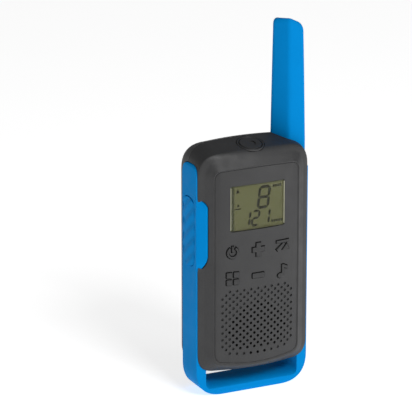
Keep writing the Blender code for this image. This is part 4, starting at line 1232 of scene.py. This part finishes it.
# %% Springs and winding
def make_coils():
    winding = coil("winding", brass, 2.4, 2.4, 0.4, 40, 7, (ANTENNA_X, ANTENNA_Y, 125), (0, 0, 1))
    finish(winding, "aerial_winding", brass, "casing", ["antenna_coil"])
    clip = coil("clip_coil", steel, 1.6, 1.6, 0.3, 5.2, 6, (-2.6, 17.9, 105.0), (1, 0, 0))
    finish(clip, "clip_torsion_spring", steel, "casing", ["clip_spring"])
    for side in ("left", "middle", "right"):
        low, high = reach("cell_spring_" + side)
        up = 1 if side == "middle" else -1
        seat = (low if up > 0 else high).z + 0.35 * up
        middle = ((low.x + high.x) / 2, (low.y + high.y) / 2, seat)
        spring = coil("spring", steel, 2.2, 3.2, 0.35, high.z - low.z - 0.7, 3, middle, (0, 0, up))
        finish(spring, f"cell_coil_{side}", steel, "casing", ["cell_spring_" + side])


make_coils()

# %% [markdown]
# ## Top button
# A round button sits in the sloping shoulder, inside a thin ring. Its face is dished for
# a fingertip and carries a small crescent. Both are turned shapes, so a profile of radius
# and height says everything.

# %% Top button
def make_top_button():
    dish = [(4.9 * k / 8, 0.28 - 0.3 * (1 - (k / 8) ** 2)) for k in range(9)]
    lip = [(5.1, 0.24), (5.24, 0.12), (5.3, -0.1), (5.3, -2.7), (6.3, -2.7), (6.3, -3.4), (1.4, -3.4),
           (1.4, -5.6)]
    button = turned("top_cap", dish + lip, TOP_BUTTON, TOP_WAY, 64)
    turn = TOP_WAY.to_track_quat("Z", "Y").to_matrix()
    crescent = arc((0, 0), 2.6, 215, 325, 18) + list(reversed(arc((0, 0.35), 2.0, 215, 325, 18)))
    rings = [[tuple(TOP_BUTTON + turn @ Vector((-y, x, height))) for x, y in crescent]
             for height in (-0.35, 1.0)]
    cut(button, loft("crescent", rings))
    finish(button, "shoulder_button", key_finish, "top_button", ["top_button"])
    foot = TOP_BUTTON - TOP_WAY * 0.6
    rim = [(5.65, 0), (5.65, 0.6), (5.8, 0.75), (6.3, 0.75), (6.45, 0.6), (6.45, 0)]
    ring = turned("ring", rim, foot, TOP_WAY, 64)
    cut(ring, turned("ring_bore", [(5.66, -1), (5.66, 2)], foot, TOP_WAY, 64))
    finish(ring, "shoulder_ring", charcoal, "casing", ["top_button_bezel"])


make_top_button()

# %% [markdown]
# ## Rear housing
# The back half holds the bay for the cells, open at the back, and the screws that hold
# the casing together sit in deep pockets. It follows the same way as the front: a smooth
# shell, less its cavity, with the bay's walls added and its openings cut.

# %% Rear housing
BAY = (-22.8, 15.6, 22.8, 71.6)
BAY_MOUTH = (-22.5, 18.7, 22.5, 71.2)
COVER = (-24.0, 17.5, 24.0, 73.5)
BRACKET_SCREWS = [98.6, 111.4]
HEAD_POCKET = [(2.3, 0), (2.3, 1.6), (2.8, 2.1), (2.8, 8)]


def make_rear_housing():
    piece = shell("rear_shell", REAR_SECTIONS, 5)
    cut(piece, shell("rear_cavity", [
        (-3.0, INSIDE_X, 12.9, 121.05, 1.6, 1.5, 6.5, 8.0),
        (8.6, INSIDE_X, 12.9, 119.3, 1.6, 1.5, 6.5, 8.0),
        (11.2, 23.4, 15.2, 115.8, 1.6, 1.5, 6.5, 7.0),
    ]), band_space("rear_band_space", -10, 8.1, GAP))
    join(piece, prism("bay_walls", pad(BAY, 7.0, 1.2), -3.8, 12.0))
    cut(piece, prism("bay", pad(BAY, 6.0), -2.6, 11.4), prism("bay_mouth", pad(BAY_MOUTH, 3.0), 9, 20),
        prism("cover_seat", pad(COVER, 3.0, GAP), 12.6, 20))
    for k, (x, z) in enumerate(CASE_SCREWS):
        join(piece, turned(f"rear_boss_{k}", [(2.4, 0), (2.4, 9.3)], (x, 2.85, z), (0, 1, 0), 24))
        cut(piece, turned(f"screw_way_{k}", [(1.2, 0), (1.2, 20)], (x, 0, z), (0, 1, 0), 20),
            turned(f"head_pocket_{k}", HEAD_POCKET, (x, 12.2, z), (0, 1, 0), 32))
    for k, z in enumerate(BRACKET_SCREWS):
        cut(piece, turned(f"bracket_hole_{k}", [(1.2, 0), (1.2, 12)], (0, 9, z), (0, 1, 0), 20))
    cut(piece, antenna_notch("rear_notch"))
    return finish(piece, "rear_shell", charcoal, "casing", ["rear_housing"])


make_rear_housing()

# %% [markdown]
# ## Grip grooves
# The battery latch, the cover's thumb patch and the belt clip's head are grooved so that
# a finger holds on them. A tree lines up round bars at an even pitch and takes them out
# of the piece that it is given.

# %% Groove tree
def groove_tree():
    tree, given = new_tree("grip_grooves", {
        "Count": "Int", "Pitch": "Float", "Start": "Vector", "Length": "Float",
        "Radius": "Float", "Material": "Material"})
    step = node(tree, "ShaderNodeCombineXYZ", {}, {"Z": given["Pitch"]})
    line = node(tree, "GeometryNodeMeshLine", {}, {"Count": given["Count"], "Start Location": given["Start"],
                                                   "Offset": step.outputs[0]})
    bar_shape = node(tree, "GeometryNodeMeshCylinder", {}, {"Vertices": 16, "Radius": given["Radius"],
                                                            "Depth": given["Length"]})
    bars = node(tree, "GeometryNodeInstanceOnPoints", {}, {"Points": line.outputs[0],
                                                           "Instance": bar_shape.outputs["Mesh"],
                                                           "Rotation": (0, math.pi / 2, 0)})
    real = node(tree, "GeometryNodeRealizeInstances", {}, {"Geometry": bars.outputs[0]})
    grooved = node(tree, "GeometryNodeMeshBoolean", {"operation": "DIFFERENCE", "solver": "EXACT"},
                   {"Mesh 1": given["Geometry"]})
    tree.links.new(real.outputs[0], grooved.inputs["Mesh 2"])
    end_tree(tree, grooved.outputs[0], given["Material"])
    return tree


grip_tree = groove_tree()


def groove(piece, material, count, pitch, start, length, radius):
    return run_tree(piece, grip_tree, {
        "Count": count, "Pitch": pitch * MM, "Start": tuple(Vector(start) * MM),
        "Length": length * MM, "Radius": radius * MM, "Material": material})


# %% Battery cover and latch
def make_battery_cover():
    cover = prism("cover", pad(COVER, 2.8), 14.0, 12.9, ease=0.35)
    cut(cover, box("latch_slot", (-3.0, 11, 64.0), (3.0, 16, 71.4)))
    groove(cover, charcoal, 5, 1.6, (0, 14.25, 54.0), 14.0, 0.55)
    finish(cover, "battery_door", charcoal, "battery_cover", ["battery_cover"])
    latch = prism("latch_pad", pad((-5.0, 65.8, 5.0, 71.9), 1.2), 15.3, 14.3, ease=0.25)
    groove(latch, key_finish, 4, 1.15, (0, 15.45, 67.1), 7.0, 0.4)
    join(latch, box("latch_key", (-2.7, 13.1, 66.8), (2.7, 14.6, 71.1)))
    finish(latch, "door_latch", key_finish, "battery_latch", ["battery_latch"])


make_battery_cover()

# %% [markdown]
# ## Belt clip
# The clip is a curved spring arm on a pinned bracket. Its profile is drawn once, from the
# side, pushed across the width, and its edges are rounded so that it slides over a belt.
# Then the pivot's lugs are joined on and the pin's hole is drilled.

# %% Clip and bracket
def make_belt_clip():
    y, z = 17.9, 105.0
    profile = [(20.6, 114.6), (20.8, 105.0), (20.4, 91.0), (18.6, 82.5), (15.4, 77.6), (14.5, 75.6),
               (15.4, 74.9), (17.4, 75.6), (20.6, 81.4), (22.5, 91.0), (22.9, 105.0), (22.6, 115.6),
               (21.6, 116.6)]
    setbacks = [0.6, 6, 4, 2.5, 1.2, 0.6, 0.5, 1.2, 3, 5, 6, 0.6, 0.6]
    clip = prism("arm", eased(profile, setbacks, 5), -8.5, 8.5, "X")
    soften(clip, 0.45, 3, 40)
    hub = [(y - 2.0, z), (y - 1.4, z - 1.4), (y, z - 2.0), (21.6, z - 3.4), (21.6, z + 3.4), (y, z + 2.0),
           (y - 1.4, z + 1.4)]
    join(clip, *[prism(f"lug_{side}", eased(hub, 0.7, 4), *sorted((side * 3.4, side * 5.5)), "X")
                 for side in (-1, 1)])
    cut(clip, turned("clip_bore", [(1.15, 0), (1.15, 24)], (-12, y, z), (1, 0, 0), 24))
    groove(clip, charcoal, 4, 1.7, (0, 23.0, 108.6), 12.0, 0.5)
    finish(clip, "clip_arm", charcoal, "belt_clip", ["belt_clip"])
    bracket = prism("base", pad((-9.0, 95.5, 9.0, 114.5), 1.0, 0, 4), 15.4, 14.3, ease=0.3)
    ear = [(14.8, z - 3.6), (y, z - 2.2), (y + 1.6, z - 1.6), (y + 2.2, z), (y + 1.6, z + 1.6), (y, z + 2.2),
           (14.8, z + 3.6)]
    join(bracket, *[prism(f"ear_{side}", eased(ear, 0.9, 4), *sorted((side * 6.0, side * 8.0)), "X")
                    for side in (-1, 1)])
    cut(bracket, turned("pin_way", [(1.15, 0), (1.15, 24)], (-12, y, z), (1, 0, 0), 24),
        *[turned(f"bracket_way_{k}", [(1.2, 0), (1.2, 8)], (0, 12, at), (0, 1, 0), 20)
          for k, at in enumerate(BRACKET_SCREWS)])
    finish(bracket, "clip_base", charcoal, "casing", ["clip_bracket"])


make_belt_clip()

# %% Port cover
def make_port_cover():
    """A rubber flap with a shallow frame line and a finger notch at its head."""
    flap = prism("flap", pad(PORT_SLOT, 3.8), 29.2, 26.7, "X", ease=0.4)
    groove_ring = prism("line", pad(PORT_SLOT, 3.0, -1.6), 28.95, 31, "X")
    cut(groove_ring, prism("line_core", pad(PORT_SLOT, 2.8, -2.1), 28, 32, "X"))
    cut(flap, groove_ring, turned("notch", [(1.8, 0), (1.8, 8)], (29.9, -3.85, 96.6), (0, 1, 0), 24))
    finish(flap, "port_flap", rubber, "port_cover", ["port_cover"])


make_port_cover()

# %% [markdown]
# ## Screws
# Six pan-head screws hold the halves and the clip's bracket. They are all alike but for
# their length, so one screw with its cross recess is made, and a tree sets it on every
# seat that it is given, turned by a fixed seed as real screws never line up.

# %% Screw tree
def screw_tree():
    tree, given = new_tree("screws", {"Screw": "Object", "Seed": "Int", "Material": "Material"})
    screw_shape = node(tree, "GeometryNodeObjectInfo", {}, {"Object": given["Screw"]}).outputs["Geometry"]
    turn = node(tree, "FunctionNodeRandomValue", {"data_type": "FLOAT"}, {"Seed": given["Seed"]})
    turn.inputs[2].default_value = 0.0
    turn.inputs[3].default_value = math.pi / 2
    angles = node(tree, "ShaderNodeCombineXYZ", {}, {"Y": turn.outputs[1]})
    placed = node(tree, "GeometryNodeInstanceOnPoints", {}, {
        "Points": given["Geometry"], "Instance": screw_shape, "Rotation": angles.outputs[0]})
    end_tree(tree, placed.outputs[0], given["Material"])
    return tree


set_screws = screw_tree()


def make_screws(name, seats, length, nodes, seed):
    profile = [(0, 0.95), (0.8, 0.92), (1.3, 0.8), (1.7, 0.5), (1.8, 0.2), (1.8, 0), (0.9, 0), (0.9, -length),
               (0, -length - 0.6)]
    screw = turned("screw", profile, (0, 0, 0), (0, 1, 0), 28)
    cut(screw, box("slot_across", (-1.15, 0.35, -0.2), (1.15, 2.0, 0.2)),
        box("slot_up", (-0.2, 0.35, -1.15), (0.2, 2.0, 1.15)))
    piece = seat_points(name, seats)
    run_tree(piece, set_screws, {"Screw": screw, "Seed": seed, "Material": steel})
    bpy.data.objects.remove(screw, do_unlink=True)
    finish(piece, name, steel, "casing", nodes)


make_screws("housing_screws", [(x, 12.6, z) for x, z in CASE_SCREWS], 14,
            [f"case_screw_{k}" for k in range(1, 5)], 3)
make_screws("bracket_screws", [(0, 15.7, z) for z in BRACKET_SCREWS], 5.5,
            ["bracket_screw_1", "bracket_screw_2"], 7)

# %% [markdown]
# ## Inner pieces
# What is inside keeps its own shape from the frame, which is already right, and takes a
# finish of its own: the board with its parts, the speaker, the cells and their contacts.

# %% Finishes of the inner pieces
INNER = {
    "lcd_glass": lcd, "lcd_holder": white_plastic, "backlight_plate": white_plastic, "main_board": board,
    "key_mat": rubber, "shield_can": steel, "radio_chip": black_part, "talk_switch": black_part,
    "charging_socket": steel, "headset_jack": black_part, "top_switch": black_part, "speaker_seal": rubber,
    "speaker_basket": steel, "speaker_cone": cone, "speaker_magnet": steel, "microphone": steel,
    "antenna_stub": brass, "antenna_rod": steel, "clip_pin": steel,
}
for side in ("left", "middle", "right"):
    INNER["battery_cell_" + side] = cell
    INNER["cell_contact_" + side] = brass
for name, material in INNER.items():
    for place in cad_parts[name].material_slots:
        place.material = material
left_over = [name for name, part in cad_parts.items() if not part.hide_render and name not in INNER]
print("inner pieces:", len(INNER), "left without a finish:", left_over)

# %% [markdown]
# ## Floor and light
# The radio stands on a pale floor that runs far behind it, so the view has no horizon. A
# large soft light stands high in front, and a broad weak one low on the right lifts the
# front face, so the left side is darker. The white surroundings fill the rest, and the
# floor is nearly white itself and throws light up under the chin and the foot.

# %% Floor and light
FLOOR_HALF = 4000
FLOOR_GLOW = 0.68
LIGHT_AIM = Vector((0, 0, 0.08))


def pale_floor():
    material, tree, shader = new_finish("floor", 0.2)
    drift = grain(tree, object_place(tree), 3, 3)
    tree.links.new(blend_colours(tree, drift, (0.9, 0.9, 0.9), (0.94, 0.94, 0.94)),
                   shader.inputs["Base Color"])
    tree.links.new(between(tree, drift, 0.7, 0.8), shader.inputs["Roughness"])
    shader.inputs["Emission Color"].default_value = (1.0, 1.0, 1.0, 1.0)
    shader.inputs["Emission Strength"].default_value = FLOOR_GLOW
    return material


floor_outline = [(-FLOOR_HALF, -FLOOR_HALF), (FLOOR_HALF, -FLOOR_HALF), (FLOOR_HALF, FLOOR_HALF),
                 (-FLOOR_HALF, FLOOR_HALF)]
floor = prism("floor", floor_outline, -10, -0.02, "Z")
floor.data.materials.append(pale_floor())


def soft_light(name, azimuth, elevation, distance, size, power):
    data = bpy.data.lights.new(name, "AREA")
    data.shape = "DISK"
    data.size = size
    data.energy = power
    light = bpy.data.objects.new(name, data)
    scene_collection.objects.link(light)
    way = direction(math.radians(azimuth), math.radians(elevation))
    light.location = LIGHT_AIM + way * distance
    light.rotation_mode = "QUATERNION"
    light.rotation_quaternion = (-way).to_track_quat("-Z", "Y")


soft_light("high_front", 6, 40, 1.5, 0.5, 8.4)
soft_light("low_right", 38, 12, 1.6, 0.9, 4.5)
world = bpy.data.worlds.new("surroundings")
world.use_nodes = True
world.node_tree.nodes["Background"].inputs["Color"].default_value = (1.0, 1.0, 1.0, 1.0)
world.node_tree.nodes["Background"].inputs["Strength"].default_value = 0.2
bpy.context.scene.world = world
bpy.context.scene.view_settings.view_transform = "Standard"
print(piece_count, "finished pieces")
